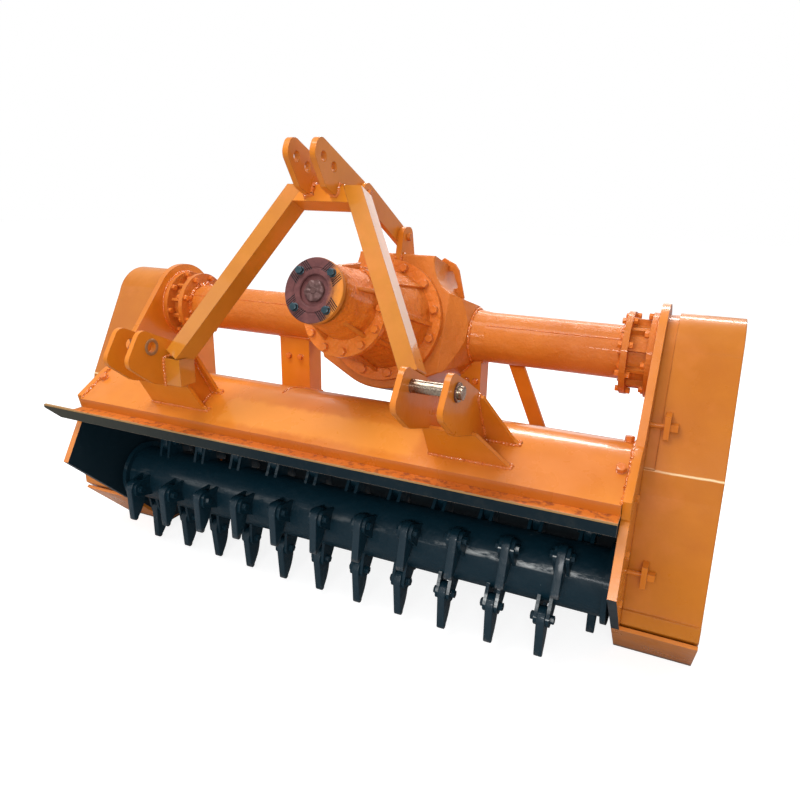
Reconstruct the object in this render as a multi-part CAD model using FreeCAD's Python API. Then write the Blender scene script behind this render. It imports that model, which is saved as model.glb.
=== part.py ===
"""Branch shredder for a tractor's three-point hitch, as an assembly of named pieces.

Frame: X runs along the rotor, Y runs from the tractor (-) to the rear (+), Z is up.
The origin lies on the floor, under the middle of the working width and of the whole depth.
All sizes are millimetres.
"""
import FreeCAD, Part
import math
import os

V = FreeCAD.Vector
X_AXIS = V(1, 0, 0)
Z_AXIS = V(0, 0, 1)

# ---------------------------------------------------------------- driving dimensions
# Working width and side structure
WORK_WIDTH = 1600.0          # between the side plates
PLATE_T = 20.0               # side plate's rim
PLATE_WEB_T = 10.0           # side plate behind its rim
PLATE_RIM = 14.0             # rim round the web, behind the cover
PLATE_NECK_DROP = 32.0       # plate's front edge under the hood's line, where its neck starts
PLATE_TOP_R = 139.0          # round top of the side plate, about the axle
COVER_W = 180.0              # drive cover, from the side plate outwards
COVER_T = 4.0                # drive cover's sheet
COVER_TOP_R = 117.0          # round top of the drive cover, about the axle
COVER_LIP_W = 26.0           # joggled flange of the cover beside the plate
COVER_LIP_DROP = 6.0         # how far that flange steps in
SHOE_T = 10.0                # skid shoe's bar
CREASE_Y = -255.0            # crease across the drive cover's front
CREASE_Z = 560.0
CHIN_Y = -336.0              # foot of the cover's leaning front
CHIN_Z = 223.0
CHIN_STEP = 7.0              # lower front ahead of the chin
COVER_BEND_Y = 12.0          # second, softer bend under the crease
COVER_BEND_Z = 57.0
COVER_FRONT_TURN = -70.0     # where the round top meets the front, from straight up
COVER_BACK_TURN = 90.0

# Heights and places in the machine's side view, measured from the axle's axis
AXLE_Z = 783.0               # axle's axis over the floor
ROTOR_Z = 242.0              # rotor's axis over the floor
ROTOR_Y = -269.0             # rotor's axis ahead of the axle's
NOSE_Y = -551.0              # foremost corner of the side plate
NOSE_Z = 372.0
REAR_Y = 126.0               # rear wall
CHAMFER = 45.0               # slope of the skid's front, degrees

# Hood
HOOD_T = 6.0
HOOD_FRONT_SLOPE = 30.0      # front panel, degrees
HOOD_REAR_SLOPE = 22.0       # rear panel, degrees
HOOD_R = 168.5               # roll between the two panels
HOOD_CENTRE_Y = -301.0
HOOD_CENTRE_Z = 464.0
HOOD_FOLD_Y = -478.0         # fold at the front panel's foot
HOOD_FOLD_H = 25.0           # short upright between the fold and the ledge
HOOD_REAR_R = 60.0           # bend into the rear wall
HOOD_WALL_FOOT_Z = 90.0      # foot of the rear wall
LIP_DEPTH = 37.0             # ledge ahead of the fold
LIP_DROP = 32.0              # front strip under the ledge
LIP_T = 8.0
LIP_OVERHANG = 100.0         # strip's pointed end past the left plate
LIP_POINT = 70.0             # length of the strip's taper

# Axle housing
TUBE_R = 72.5
TUBE_WALL = 10.0
DIFF_X = 60.0                # middle of the differential
BANJO_FRONT = 130.0          # banjo's front face from the axle's axis
BANJO_REAR = 85.0
BANJO_FILLET = 5.0           # round of the front wall's rim
BANJO_TOP = 198.0            # flat top over the middle
BANJO_TOP_HALF = 121.0       # half the flat top's length
BANJO_WAIST_X = 158.0        # middle of the hollow shoulder
BANJO_WAIST_H = 112.0
BANJO_BELLY_X = 92.0         # ends of the round bottom
BANJO_BELLY_H = 176.0
BANJO_HIP_X = 190.0          # corner between the bottom and the neck
BANJO_HIP_H = 128.0
BANJO_FLAT_X = 182.0         # half length of the flat front and rear walls
CHAMBER_R = 134.0            # opening through the banjo
NECK_X = 236.0               # end of the banjo's shoulders, from the differential's middle
NECK_R = 86.0                # round neck inside the shoulder
NECK_L = 44.0                # from the shoulder's end to the plain tube
PINION_TILT = 19.0           # nose-up angle of the pinion, degrees
CARRIER_R = 175.0
CARRIER_FLANGE_T = 18.0
CARRIER_BOLTS = 12
CARRIER_BOLT_R = 11.0
CARRIER_BOLT_H = 9.0
CARRIER_BOLT_CIRCLE = 156.0
CARRIER_CONE_R = 142.0
CARRIER_CONE_L = 214.0
CARRIER_RIBS = 8
CARRIER_RIB_T = 12.0
CARRIER_RIB_OUT = 10.0       # rib's foot past the cone
CARRIER_RIB_FOOT = 22.0      # height of that foot
CARRIER_RIB_FADE = 30.0      # where the rib starts to run into the nose
NOSE_R = 96.0                # cone's small end
CAGE_R = 119.0
CAGE_T = 18.0
CAGE_DROP = 20.0             # cage's bolted disc below the pinion's axis
CAGE_BOLTS = 12
CAGE_BOLT_R = 9.0
CAGE_BOLT_CIRCLE = 105.0
CAGE_BOLT_PHASE = 9.0        # first bolt's turn, degrees
BOSS_R = 74.0                # front end of the cage's round nose
BOSS_FOOT_R = 97.0           # its foot on the disc
DIFF_BLOCK_R = 118.0
DIFF_BLOCK_L = 150.0
REAR_COVER_R = 150.0
REAR_COVER_H = 50.0
REAR_COVER_RIM = 16.0        # bolted rim round the dome
REAR_COVER_RIM_T = 10.0

# Input flange
INPUT_R = 79.0
INPUT_T = 14.0
INPUT_DIST = 533.0           # face of the flange from the axle's axis
INPUT_HUB_R = 46.0
INPUT_HUB_L = 16.0
INPUT_SHAFT_R = 22.0         # pinion's shaft behind the hub
INPUT_SHAFT_L = 60.0
INPUT_PCD = 124.0
INPUT_BOLTS = 4
INPUT_HOLE_R = 6.2
INPUT_RECESS_R = 38.0
INPUT_RECESS_D = 8.0
INPUT_NUT_R = 24.0
INPUT_GAP = 5.0              # running gap behind the flange's hub

# Axle ends
END_FLANGE_R = 111.0
END_FLANGE_T = 16.0
END_FLANGE_IN = 80.0         # inner face of the end flange, from the side plate
HUB_R = 78.0
HUB_RIB_R = 94.0
HUB_RIBS = 10
HUB_RIB_T = 10.0
MOUNT_FLANGE_R = 113.0
MOUNT_FLANGE_T = 18.0

# Posts under the axle
POST_W = 112.0
POST_D = 70.0
POST_T = 8.0
POST_SINK = 60.0             # post drawn this far under the hood, then cut to it
POST_LEFT_X = -320.0
POST_RIGHT_X = 296.0
POST_RIGHT_W = 62.0
BRACE_W = 45.0
BRACE_T = 10.0
BRACE_TOP_IN = 426.0         # from the right side plate
BRACE_FOOT_IN = 310.0
BRACE_TAIL = 60.0            # bar past its foot, cut by the hood
BRACE_FOOT_Y = 70.0

# Lower link brackets
LINK_Y = -590.0
LINK_Z = 788.0
LINK_OUT_X = 453.0           # middle of each clevis's outer plate
LINK_HALF_LEFT = 36.0        # plate's middle from the clevis's middle
LINK_HALF_RIGHT = 52.0
LINK_T = 14.0
LINK_NOSE_Y = 86.0           # plate's corners, ahead of and behind the pin
LINK_NOSE_Z = 32.0
LINK_TOP_Y = 30.0
LINK_TOP_Z = 52.0
LINK_BACK_Y = 62.0
LINK_BACK_Z = 8.0
LINK_CHIN_Y = 4.0
LINK_CHIN_Z = 96.0
LINK_ROUND = 26.0
LINK_HOLE_R = 14.3           # open hole of the left clevis
LINK_PIN_R = 15.0            # right clevis's own pin
LINK_PIN_GAP = 0.3
LINK_PIN_OVER = 14.0         # pin's end past the plates
LINK_RING_R = 21.0
LINK_RING_T = 5.0
GUSSET_T = 10.0
GUSSET_FRONT_Y = -442.0
GUSSET_REAR_Y = -380.0
GUSSET_FRONT_H = 96.0
GUSSET_REAR_H = 145.0
GUSSET_TOE_LEFT = 40.0       # gusset's foot past the clevis plate's middle
GUSSET_TOE_RIGHT = 92.0
GUSSET_SIDE_LEFT = 90.0      # front gusset past the other plate's middle
GUSSET_SIDE_RIGHT = 10.0
GUSSET_NOSE = 12.0           # blunt end of a gusset

# Mast
MAST_W = 44.0                # tube's width in the mast's plane
MAST_D = 58.0                # tube's depth
MAST_STUB_W = 54.0
MAST_FOOT_IN = 4.0           # right leg's end, cut on the clevis plate
MAST_WALL = 5.0
MAST_TOP_X = 93.0
MAST_FOOT_BACK = 79.2        # legs' plane behind the lower link pin
MAST_KNEE_DROP = 36.0        # left leg's knee under the lower link pin
MAST_STUB = 72.0             # upright foot under that knee
EAR_T = 16.0
EAR_HALF = 37.0              # ear's middle from the mast's middle
EAR_FRONT_Y = -424.0         # front top link hole
EAR_FRONT_Z = 1255.0
EAR_RISE = 93.0              # that hole over the cross member's middle
EAR_AHEAD = 86.0             # and ahead of it
EAR_PITCH = 50.0             # between the two top link holes
EAR_TILT = 25.0              # ear's fall to the rear, degrees
EAR_R = 38.0
EAR_L = 238.0
EAR_HOLE_R = 12.8
EAR_TAIL_DROP = 22.0         # tail's lower corner under the line of the holes
EAR_NOSE_DROP = 12.0
EAR_ROUND = 26.0             # corners, the foot's are smaller
EAR_FOOT_ROUND = 10.0
EAR_FOOT_NEAR = 16.0         # foot ahead of the cross member, its two corners
EAR_FOOT_FAR = 50.0
EAR_FOOT_DROP = 10.0         # and under the cross member's middle
STAY_T = 14.0
STAY_W = 56.0
STAY_FOOT_Y = -18.0
STAY_FOOT_RISE = 76.0        # stay's lower bolt over the banjo's top
STAY_TOP_RISE = 8.0          # upper bolt over the line of the ear's holes
STAY_PIN_R = 11.0
STAY_BOLT_OVER = 10.0
PEDESTAL_L = 96.0
PEDESTAL_T = 18.0
PEDESTAL_SINK = 12.0         # base over the middle of the banjo's upper wall

# Rotor
DRUM_R = 87.5
DRUM_WALL = 12.0
DISC_R = 104.0
DISC_T = 14.0
DISC_GAP = 14.0              # end disc to side plate
SHAFT_R = 30.0
SHAFT_OUT = 34.0             # shaft's end past the side plate
BEARING_R = 44.0
BEARING_T = 24.0
BEARING_GAP = 0.3
SHAFT_HOLE_GAP = 8.0
PIN_CIRCLE = 128.0           # flail pins about the rotor's axis
FLAIL_REACH = 104.0          # pin to tip
FLAIL_T = 22.0
FLAIL_HEAD_R = 30.0
FLAIL_TIP_R = 9.0
FLAIL_EDGE_IN = 2.0          # cutting edge draws back this much to the tip
FLAIL_WAIST = 19.8           # half width behind the pin's line, half-way down
FLAIL_COUNT = 44
FLAIL_END = 35.0             # last flail's middle from the end disc
FLAIL_ROWS = 4
FLAIL_TWIST = 50.0           # turn of each row along the rotor, degrees
FLAIL_PHASE = 25.0           # first row's middle, from straight down towards the front
FLAIL_REST = 110.0           # most a hanging flail leans from its radius, lying on the drum
LUG_T = 9.0
LUG_GAP = 0.3                # beside the flail
LUG_HALF_W = 34.0
LUG_END_R = 20.0
LUG_ROUND = 16.0
LUG_SINK = 9.5               # lug's root, inside the drum's wall
PIN_R = 9.0
PIN_HEAD = 7.0               # pin's end past the lug

# Cover clamps
CLAMP_UPPER_Z = 660.0
CLAMP_LOWER_Z = 318.0
CLAMP_ROD_R = 6.0
CLAMP_ROD_L = 32.0
CLAMP_STAND = 12.0           # rod's middle ahead of the cover
CLAMP_LUG_H = 58.0
CLAMP_LUG_W = 28.0
CLAMP_LUG_T = 14.0
CLAMP_BLOCK = 18.0

# ---------------------------------------------------------------- worked-out places
HALF_W = WORK_WIDTH / 2
PLATE_OUT = HALF_W + PLATE_T
COVER_OUT = PLATE_OUT + COVER_W
TILT = math.radians(PINION_TILT)
PINION_DIR = V(0, -math.cos(TILT), math.sin(TILT))
DIFF = V(DIFF_X, 0, AXLE_Z)
ROTOR = V(0, ROTOR_Y, ROTOR_Z)
MAST_TOP_Y = EAR_FRONT_Y + EAR_AHEAD
MAST_TOP_Z = EAR_FRONT_Z - EAR_RISE
MAST_LEAN = math.atan2(MAST_TOP_Y - LINK_Y - MAST_FOOT_BACK, MAST_TOP_Z - LINK_Z)
LINK_LEFT_X = LINK_HALF_LEFT - LINK_OUT_X
LINK_RIGHT_X = LINK_OUT_X - LINK_HALF_RIGHT
FRONT_TAN = math.tan(math.radians(HOOD_FRONT_SLOPE))
REAR_TAN = math.tan(math.radians(HOOD_REAR_SLOPE))
SKID_FRONT_Y = NOSE_Y + NOSE_Z / math.tan(math.radians(CHAMFER))


# ---------------------------------------------------------------- helpers
def yz(points):
    """Vectors in the plane x = 0 from (y, z) pairs."""
    return [V(0, y, z) for y, z in points]


def corner_arc(before, corner, after, radius):
    """The start, middle and end of a round of this radius at a corner."""
    to_before = (before - corner).normalize()
    to_after = (after - corner).normalize()
    half = to_before.getAngle(to_after) / 2
    run = radius / math.tan(half)
    centre = corner + (to_before + to_after).normalize() * (radius / math.sin(half))
    start = corner + to_before * run
    end = corner + to_after * run
    middle = centre + (corner - centre).normalize() * radius
    return start, middle, end


def rounded(points, radii):
    """Closed wire through the points, each corner rounded by its radius (0 keeps it sharp)."""
    count = len(points)
    edges = []
    ends = []
    for i, corner in enumerate(points):
        radius = radii[i] if isinstance(radii, (list, tuple)) else radii
        if radius > 0:
            ends.append(corner_arc(points[i - 1], corner, points[(i + 1) % count], radius))
        else:
            ends.append((corner, None, corner))
    for i in range(count):
        start, middle, end = ends[i]
        if middle is not None:
            edges.append(Part.Arc(start, middle, end).toShape())
        following = ends[(i + 1) % count][0]
        if (following - end).Length > 1e-6:
            edges.append(Part.LineSegment(end, following).toShape())
    return Part.Wire(edges)


def prism(wire, x0, x1):
    """Solid between x0 and x1 from a closed wire drawn in the plane x = 0."""
    solid = Part.Face(wire).extrude(V(x1 - x0, 0, 0))
    solid.translate(V(x0, 0, 0))
    return solid


def rod(start, end, radius):
    """Round bar between two points."""
    return Part.makeCylinder(radius, (end - start).Length, start, end - start)


def ring(start, end, radius, bore):
    """Round bar with a bore through it."""
    run = (end - start).normalize()
    return rod(start, end, radius).cut(rod(start - run, end + run, bore))


def fuse(shapes):
    """One solid from touching or crossing ones."""
    return shapes[0].multiFuse(shapes[1:]).removeSplitter()


def about_x(shape, angle, centre):
    """Copy of a shape turned about the X direction through a point."""
    turned = shape.copy()
    turned.rotate(centre, X_AXIS, angle)
    return turned


def mirrored(shape):
    """The same piece for the other side."""
    return shape.mirror(V(0, 0, 0), X_AXIS)


def tangent(centre, radius, angle):
    """Point of a circle in the side view; the angle is from straight up towards the rear."""
    turn = math.radians(angle)
    return centre[0] + radius * math.sin(turn), centre[1] + radius * math.cos(turn)


def hood_front_z(y):
    """Height of the hood's front panel."""
    foot_z = hood_front_top()[1] - (hood_front_top()[0] - HOOD_FOLD_Y) * FRONT_TAN
    return foot_z + (y - HOOD_FOLD_Y) * FRONT_TAN


def hood_front_top():
    """Where the front panel runs into the roll."""
    return tangent((HOOD_CENTRE_Y, HOOD_CENTRE_Z), HOOD_R, -HOOD_FRONT_SLOPE)


def hood_rear_top():
    """Where the roll runs into the rear panel."""
    return tangent((HOOD_CENTRE_Y, HOOD_CENTRE_Z), HOOD_R, HOOD_REAR_SLOPE)


def hood_rear_z(y):
    """Height of the hood's rear panel."""
    return hood_rear_top()[1] - (y - hood_rear_top()[0]) * REAR_TAN


# ---------------------------------------------------------------- hood
def hood_path(inset):
    """Hood's section line, moved inwards by the inset, from its foot in front to the rear."""
    radius = HOOD_R - inset
    centre = (HOOD_CENTRE_Y, HOOD_CENTRE_Z)
    ledge_z = hood_front_z(HOOD_FOLD_Y) - HOOD_FOLD_H
    front = tangent(centre, radius, -HOOD_FRONT_SLOPE)
    top = tangent(centre, radius, (HOOD_REAR_SLOPE - HOOD_FRONT_SLOPE) / 2)
    rear = tangent(centre, radius, HOOD_REAR_SLOPE)
    fold_y = HOOD_FOLD_Y + inset
    fold_z = front[1] - (front[0] - fold_y) * FRONT_TAN
    wall_y = REAR_Y - inset
    corner = V(0, wall_y, rear[1] - (wall_y - rear[0]) * REAR_TAN)
    bend = corner_arc(V(0, rear[0], rear[1]), corner, V(0, wall_y, 0), HOOD_REAR_R - inset)
    return [
        Part.LineSegment(V(0, fold_y, ledge_z), V(0, fold_y, fold_z)),
        Part.LineSegment(V(0, fold_y, fold_z), V(0, *front)),
        Part.Arc(V(0, *front), V(0, *top), V(0, *rear)),
        Part.LineSegment(V(0, *rear), bend[0]),
        Part.Arc(*bend),
        Part.LineSegment(bend[2], V(0, wall_y, HOOD_WALL_FOOT_Z)),
    ]


def hood_shell():
    """Bent sheet from the front ledge over the rotor and down the rear."""
    outer = hood_path(0.0)
    inner = hood_path(HOOD_T)
    edges = [curve.toShape() for curve in outer + inner]
    foot = Part.LineSegment(outer[-1].EndPoint, inner[-1].EndPoint)
    front = Part.LineSegment(outer[0].StartPoint, inner[0].StartPoint)
    edges += [foot.toShape(), front.toShape()]
    wire = Part.Wire(Part.__sortEdges__(edges))
    return prism(wire, -HALF_W, HALF_W)


def hood_lip():
    """Angle along the front edge: a ledge, and a strip with a pointed end past the left plate."""
    top = hood_front_z(HOOD_FOLD_Y) - HOOD_FOLD_H
    back = HOOD_FOLD_Y + HOOD_T
    front = HOOD_FOLD_Y - LIP_DEPTH
    ledge = Part.makeBox(WORK_WIDTH, back - front, LIP_T, V(-HALF_W, front, top - LIP_T))
    point_x = -PLATE_OUT - LIP_OVERHANG
    strip = Part.makePolygon([
        V(HALF_W, front, top),
        V(HALF_W, front, top - LIP_DROP),
        V(point_x + LIP_POINT, front, top - LIP_DROP),
        V(point_x, front, top - LIP_DROP / 3),
        V(point_x, front, top),
        V(HALF_W, front, top),
    ])
    strip = Part.Face(strip).extrude(V(0, LIP_T, 0))
    return fuse([ledge, strip])


# ---------------------------------------------------------------- side plates and covers
def plate_wire():
    """Side plate's outline."""
    head = tangent((0, AXLE_Z), PLATE_TOP_R, -52.0)
    crown = tangent((0, AXLE_Z), PLATE_TOP_R, 20.0)
    back = tangent((0, AXLE_Z), PLATE_TOP_R, 90.0)
    front_foot = (HOOD_FOLD_Y + HOOD_T, hood_front_z(HOOD_FOLD_Y) - 2 * HOOD_FOLD_H)
    edges = [
        Part.Arc(V(0, *head), V(0, *crown), V(0, *back)).toShape(),
        Part.LineSegment(V(0, *back), V(0, REAR_Y, AXLE_Z - PLATE_TOP_R)).toShape(),
        Part.LineSegment(V(0, REAR_Y, AXLE_Z - PLATE_TOP_R), V(0, REAR_Y, SHOE_T)).toShape(),
    ]
    skid_y = NOSE_Y + (NOSE_Z - SHOE_T) / math.tan(math.radians(CHAMFER))
    side = yz([
        (REAR_Y, SHOE_T),
        (skid_y, SHOE_T),
        (NOSE_Y, NOSE_Z),
        front_foot,
        (HOOD_CENTRE_Y - HOOD_R / 3, hood_front_z(HOOD_CENTRE_Y - HOOD_R / 3) - PLATE_NECK_DROP),
        head,
    ])
    edges += [Part.LineSegment(a, b).toShape() for a, b in zip(side, side[1:])]
    return Part.Wire(edges)


def side_plate():
    """Right side plate: a web with a rim on its outer side, and a hole for the rotor's shaft."""
    wire = plate_wire()
    plate = prism(wire, HALF_W, PLATE_OUT)
    inner = cover_wire(PLATE_RIM)
    pocket = prism(inner, HALF_W + PLATE_WEB_T, PLATE_OUT)
    plate = plate.cut(pocket)
    hole_r = SHAFT_R + SHAFT_HOLE_GAP
    hole = rod(ROTOR + X_AXIS * (HALF_W - 1), ROTOR + X_AXIS * (PLATE_OUT + 1), hole_r)
    return plate.cut(hole).cut(skid_shoe())


def shoe_line(y):
    """Height of the turned-up skid's outer face."""
    return NOSE_Z - (y - NOSE_Y) * math.tan(math.radians(CHAMFER))


def cover_wire(drop):
    """Drive cover's outline, moved inwards by the drop."""
    radius = COVER_TOP_R - drop
    crown = (0, AXLE_Z)
    front_top = tangent(crown, radius, COVER_FRONT_TURN)
    top = tangent(crown, radius, (COVER_FRONT_TURN + COVER_BACK_TURN) / 2)
    back_top = tangent(crown, radius, COVER_BACK_TURN)
    crease = (CREASE_Y + drop, CREASE_Z)
    below = (CREASE_Y - COVER_BEND_Y + drop, CREASE_Z - COVER_BEND_Z)
    chin = (CHIN_Y + drop, CHIN_Z)
    step = (CHIN_Y - CHIN_STEP + drop, CHIN_Z - drop)
    nose_y = CHIN_Y - CHIN_STEP + drop
    nose = (nose_y, shoe_line(CHIN_Y - CHIN_STEP) + SHOE_T * 2)
    skid_y = SKID_FRONT_Y + SHOE_T
    points = [back_top, (REAR_Y - drop, AXLE_Z - PLATE_TOP_R), (REAR_Y - drop, SHOE_T + drop),
              (skid_y, SHOE_T + drop), nose, step, chin, below, crease, front_top]
    vectors = yz(points)
    edges = [Part.LineSegment(a, b).toShape() for a, b in zip(vectors, vectors[1:])]
    edges.append(Part.Arc(V(0, *front_top), V(0, *top), V(0, *back_top)).toShape())
    return Part.Wire(edges)


def drive_cover():
    """Right drive cover: an open-backed sheet box with a joggled flange beside the plate."""
    box = prism(cover_wire(0.0), PLATE_OUT + COVER_LIP_W, COVER_OUT)
    flange = prism(cover_wire(COVER_LIP_DROP), PLATE_OUT, PLATE_OUT + COVER_LIP_W)
    depth = REAR_Y - CHIN_Y + CHIN_STEP
    low = Part.makeBox(COVER_LIP_W, depth, CREASE_Z, V(PLATE_OUT, REAR_Y - depth, 0.0))
    low = low.common(prism(cover_wire(0.0), PLATE_OUT, PLATE_OUT + COVER_LIP_W))
    hollow = prism(cover_wire(COVER_LIP_DROP + COVER_T), PLATE_OUT, COVER_OUT - COVER_T)
    return fuse([box, flange, low]).cut(hollow)


def cover_front_y(z):
    """Place of the cover's leaning front at a height."""
    below = (CREASE_Y - COVER_BEND_Y, CREASE_Z - COVER_BEND_Z)
    if z < below[1]:
        return below[0] - (below[1] - z) * (below[0] - CHIN_Y) / (below[1] - CHIN_Z)
    top = tangent((0, AXLE_Z), COVER_TOP_R, COVER_FRONT_TURN)
    return CREASE_Y + (z - CREASE_Z) * (top[0] - CREASE_Y) / (top[1] - CREASE_Z)


def cover_clamps():
    """Two clamps on the right cover's front: a rod from the plate, a lug and a block."""
    clamps = []
    for z in (CLAMP_UPPER_Z, CLAMP_LOWER_Z):
        front = cover_front_y(z)
        y = front - CLAMP_STAND
        x = PLATE_OUT + CLAMP_ROD_L
        bar = rod(V(PLATE_OUT, y, z), V(x + 1.0, y, z), CLAMP_ROD_R)
        lug = Part.makeBox(CLAMP_LUG_T, CLAMP_LUG_W * 2, CLAMP_LUG_H,
                           V(x, front - CLAMP_LUG_W, z - CLAMP_LUG_H / 2))
        block = Part.makeBox(CLAMP_BLOCK, CLAMP_BLOCK, CLAMP_BLOCK,
                             V(x + CLAMP_LUG_T, y - CLAMP_BLOCK / 2, z - CLAMP_BLOCK / 2))
        clamp = fuse([bar, lug, block]).cut(prism(cover_wire(0.0), PLATE_OUT, COVER_OUT))
        clamps.append(clamp)
    return Part.makeCompound(clamps)


def skid_shoe():
    """Right skid: a bar bent under the plate and the cover, with its nose turned up."""
    top_y = CHIN_Y - CHIN_STEP
    top_z = shoe_line(top_y)
    outer = [(top_y, top_z), (SKID_FRONT_Y, 0.0), (REAR_Y, 0.0)]
    shift = SHOE_T * math.tan(math.radians(CHAMFER / 2))
    inner = [(REAR_Y, SHOE_T), (SKID_FRONT_Y + shift, SHOE_T)]
    run = SHOE_T / math.sqrt(2)
    inner.append((top_y + run, top_z + run))
    return prism(rounded(yz(outer + inner), 0), HALF_W, COVER_OUT)


# ---------------------------------------------------------------- axle
def pinion_point(distance):
    """Point on the pinion's axis, from the axle's axis towards the tractor."""
    return DIFF + PINION_DIR * distance


def neck(side):
    """Round neck between the banjo's shoulder and an axle tube."""
    start = V(DIFF_X + side * BANJO_FLAT_X, 0, AXLE_Z)
    length = NECK_X + NECK_L - BANJO_FLAT_X
    return Part.makeCone(NECK_R, TUBE_R, length, start, X_AXIS * side)


def banjo_front_view():
    """The banjo's outline seen along the pinion: flat top, hollow shoulders, round bottom."""
    right = [V(BANJO_TOP_HALF, 0, BANJO_TOP), V(BANJO_WAIST_X, 0, BANJO_WAIST_H),
             V(NECK_X, 0, NECK_R), V(NECK_X, 0, -NECK_R), V(BANJO_HIP_X, 0, -BANJO_HIP_H),
             V(BANJO_BELLY_X, 0, -BANJO_BELLY_H)]
    left = [V(-at.x, 0, at.z) for at in right]
    edges = [
        Part.LineSegment(left[0], right[0]),
        Part.Arc(right[0], right[1], right[2]),
        Part.LineSegment(right[2], right[3]),
        Part.LineSegment(right[3], right[4]),
        Part.LineSegment(right[4], right[5]),
        Part.Arc(right[5], V(0, 0, -BANJO_TOP), left[5]),
        Part.LineSegment(left[5], left[4]),
        Part.LineSegment(left[4], left[3]),
        Part.LineSegment(left[3], left[2]),
        Part.Arc(left[2], left[1], left[0]),
    ]
    return Part.Wire([edge.toShape() for edge in edges])


def banjo_top_view():
    """The banjo's outline seen from above: flat walls that draw in to the necks."""
    corners = [(-NECK_X, -NECK_R), (-BANJO_FLAT_X, -BANJO_FRONT), (BANJO_FLAT_X, -BANJO_FRONT),
               (NECK_X, -NECK_R), (NECK_X, NECK_R), (BANJO_FLAT_X, BANJO_REAR),
               (-BANJO_FLAT_X, BANJO_REAR), (-NECK_X, NECK_R)]
    return Part.makePolygon([V(x, y, 0) for x, y in corners + corners[:1]])


def banjo_turned():
    """Round body about the axle that takes the corners off the shoulders."""
    reach = BANJO_TOP + BANJO_FRONT
    corners = [(-NECK_X, 0), (-NECK_X, NECK_R), (-BANJO_TOP_HALF, reach),
               (BANJO_TOP_HALF, reach), (NECK_X, NECK_R), (NECK_X, 0)]
    face = Part.Face(Part.makePolygon([V(x, 0, z) for x, z in corners + corners[:1]]))
    return face.revolve(V(0, 0, 0), X_AXIS, 360)


def banjo():
    """Banjo's body: its front and top views crossed, and turned down to the necks."""
    front = Part.Face(banjo_front_view()).extrude(V(0, BANJO_FRONT + BANJO_REAR, 0))
    front.translate(V(0, -BANJO_FRONT, 0))
    top = Part.Face(banjo_top_view()).extrude(V(0, 0, 2 * BANJO_TOP))
    top.translate(V(0, 0, -BANJO_TOP))
    body = front.common(top).common(banjo_turned())
    rim = [edge for edge in body.Edges if max(v.Y for v in edge.Vertexes) < 0.1 - BANJO_FRONT]
    body = body.makeFillet(BANJO_FILLET, rim)
    body.rotate(V(0, 0, 0), X_AXIS, -PINION_TILT)
    body.translate(DIFF)
    return body


def axle_housing():
    """Banjo with its two necks and tubes, bored through."""
    reach = BANJO_FRONT + BANJO_REAR
    end_x = HALF_W - END_FLANGE_IN
    tube = rod(V(-end_x, 0, AXLE_Z), V(end_x, 0, AXLE_Z), TUBE_R)
    body = fuse([banjo(), neck(1), neck(-1), tube])
    bore = rod(V(-end_x - 1, 0, AXLE_Z), V(end_x + 1, 0, AXLE_Z), TUBE_R - TUBE_WALL)
    chamber = rod(pinion_point(reach), pinion_point(-reach), CHAMBER_R)
    return body.cut(fuse([bore, chamber]))


def differential():
    """Ring gear and differential, as one plain block on the back of the carrier."""
    return rod(pinion_point(BANJO_FRONT - DIFF_BLOCK_L), pinion_point(BANJO_FRONT), DIFF_BLOCK_R)


def carrier():
    """Differential carrier: a bolted flange, a ribbed cone and the pinion's nose."""
    cone_start = BANJO_FRONT + CARRIER_FLANGE_T
    flange = rod(pinion_point(BANJO_FRONT), pinion_point(cone_start), CARRIER_R)
    cone = Part.makeCone(CARRIER_CONE_R, NOSE_R, CARRIER_CONE_L, pinion_point(cone_start), PINION_DIR)
    pieces = [flange, cone]
    for i in range(CARRIER_BOLTS):
        head = rod(pinion_point(cone_start), pinion_point(cone_start + CARRIER_BOLT_H),
                   CARRIER_BOLT_R)
        head.translate(X_AXIS * CARRIER_BOLT_CIRCLE)
        head.rotate(DIFF, PINION_DIR, 360.0 * (i + 0.5) / CARRIER_BOLTS)
        pieces.append(head)
    for i in range(CARRIER_RIBS):
        pieces.append(carrier_rib(cone_start, 360.0 * i / CARRIER_RIBS))
    return fuse(pieces)


def carrier_rib(start, angle):
    """One radial rib from the flange up to the nose."""
    half = CARRIER_RIB_T / 2
    out = CARRIER_RIB_OUT
    points = [V(0, 0, 0), V(CARRIER_CONE_R + out, 0, 0), V(CARRIER_CONE_R + out / 4, 0, CARRIER_RIB_FOOT),
              V(NOSE_R + out, 0, CARRIER_CONE_L - CARRIER_RIB_FADE), V(NOSE_R - out, 0, CARRIER_CONE_L),
              V(0, 0, CARRIER_CONE_L)]
    rib = Part.Face(Part.makePolygon(points + points[:1])).extrude(V(0, CARRIER_RIB_T, 0))
    rib.translate(V(0, -half, 0))
    rib.rotate(V(0, 0, 0), Z_AXIS, angle)
    rib.rotate(V(0, 0, 0), X_AXIS, 90 - PINION_TILT)
    rib.translate(pinion_point(start))
    return rib


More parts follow.
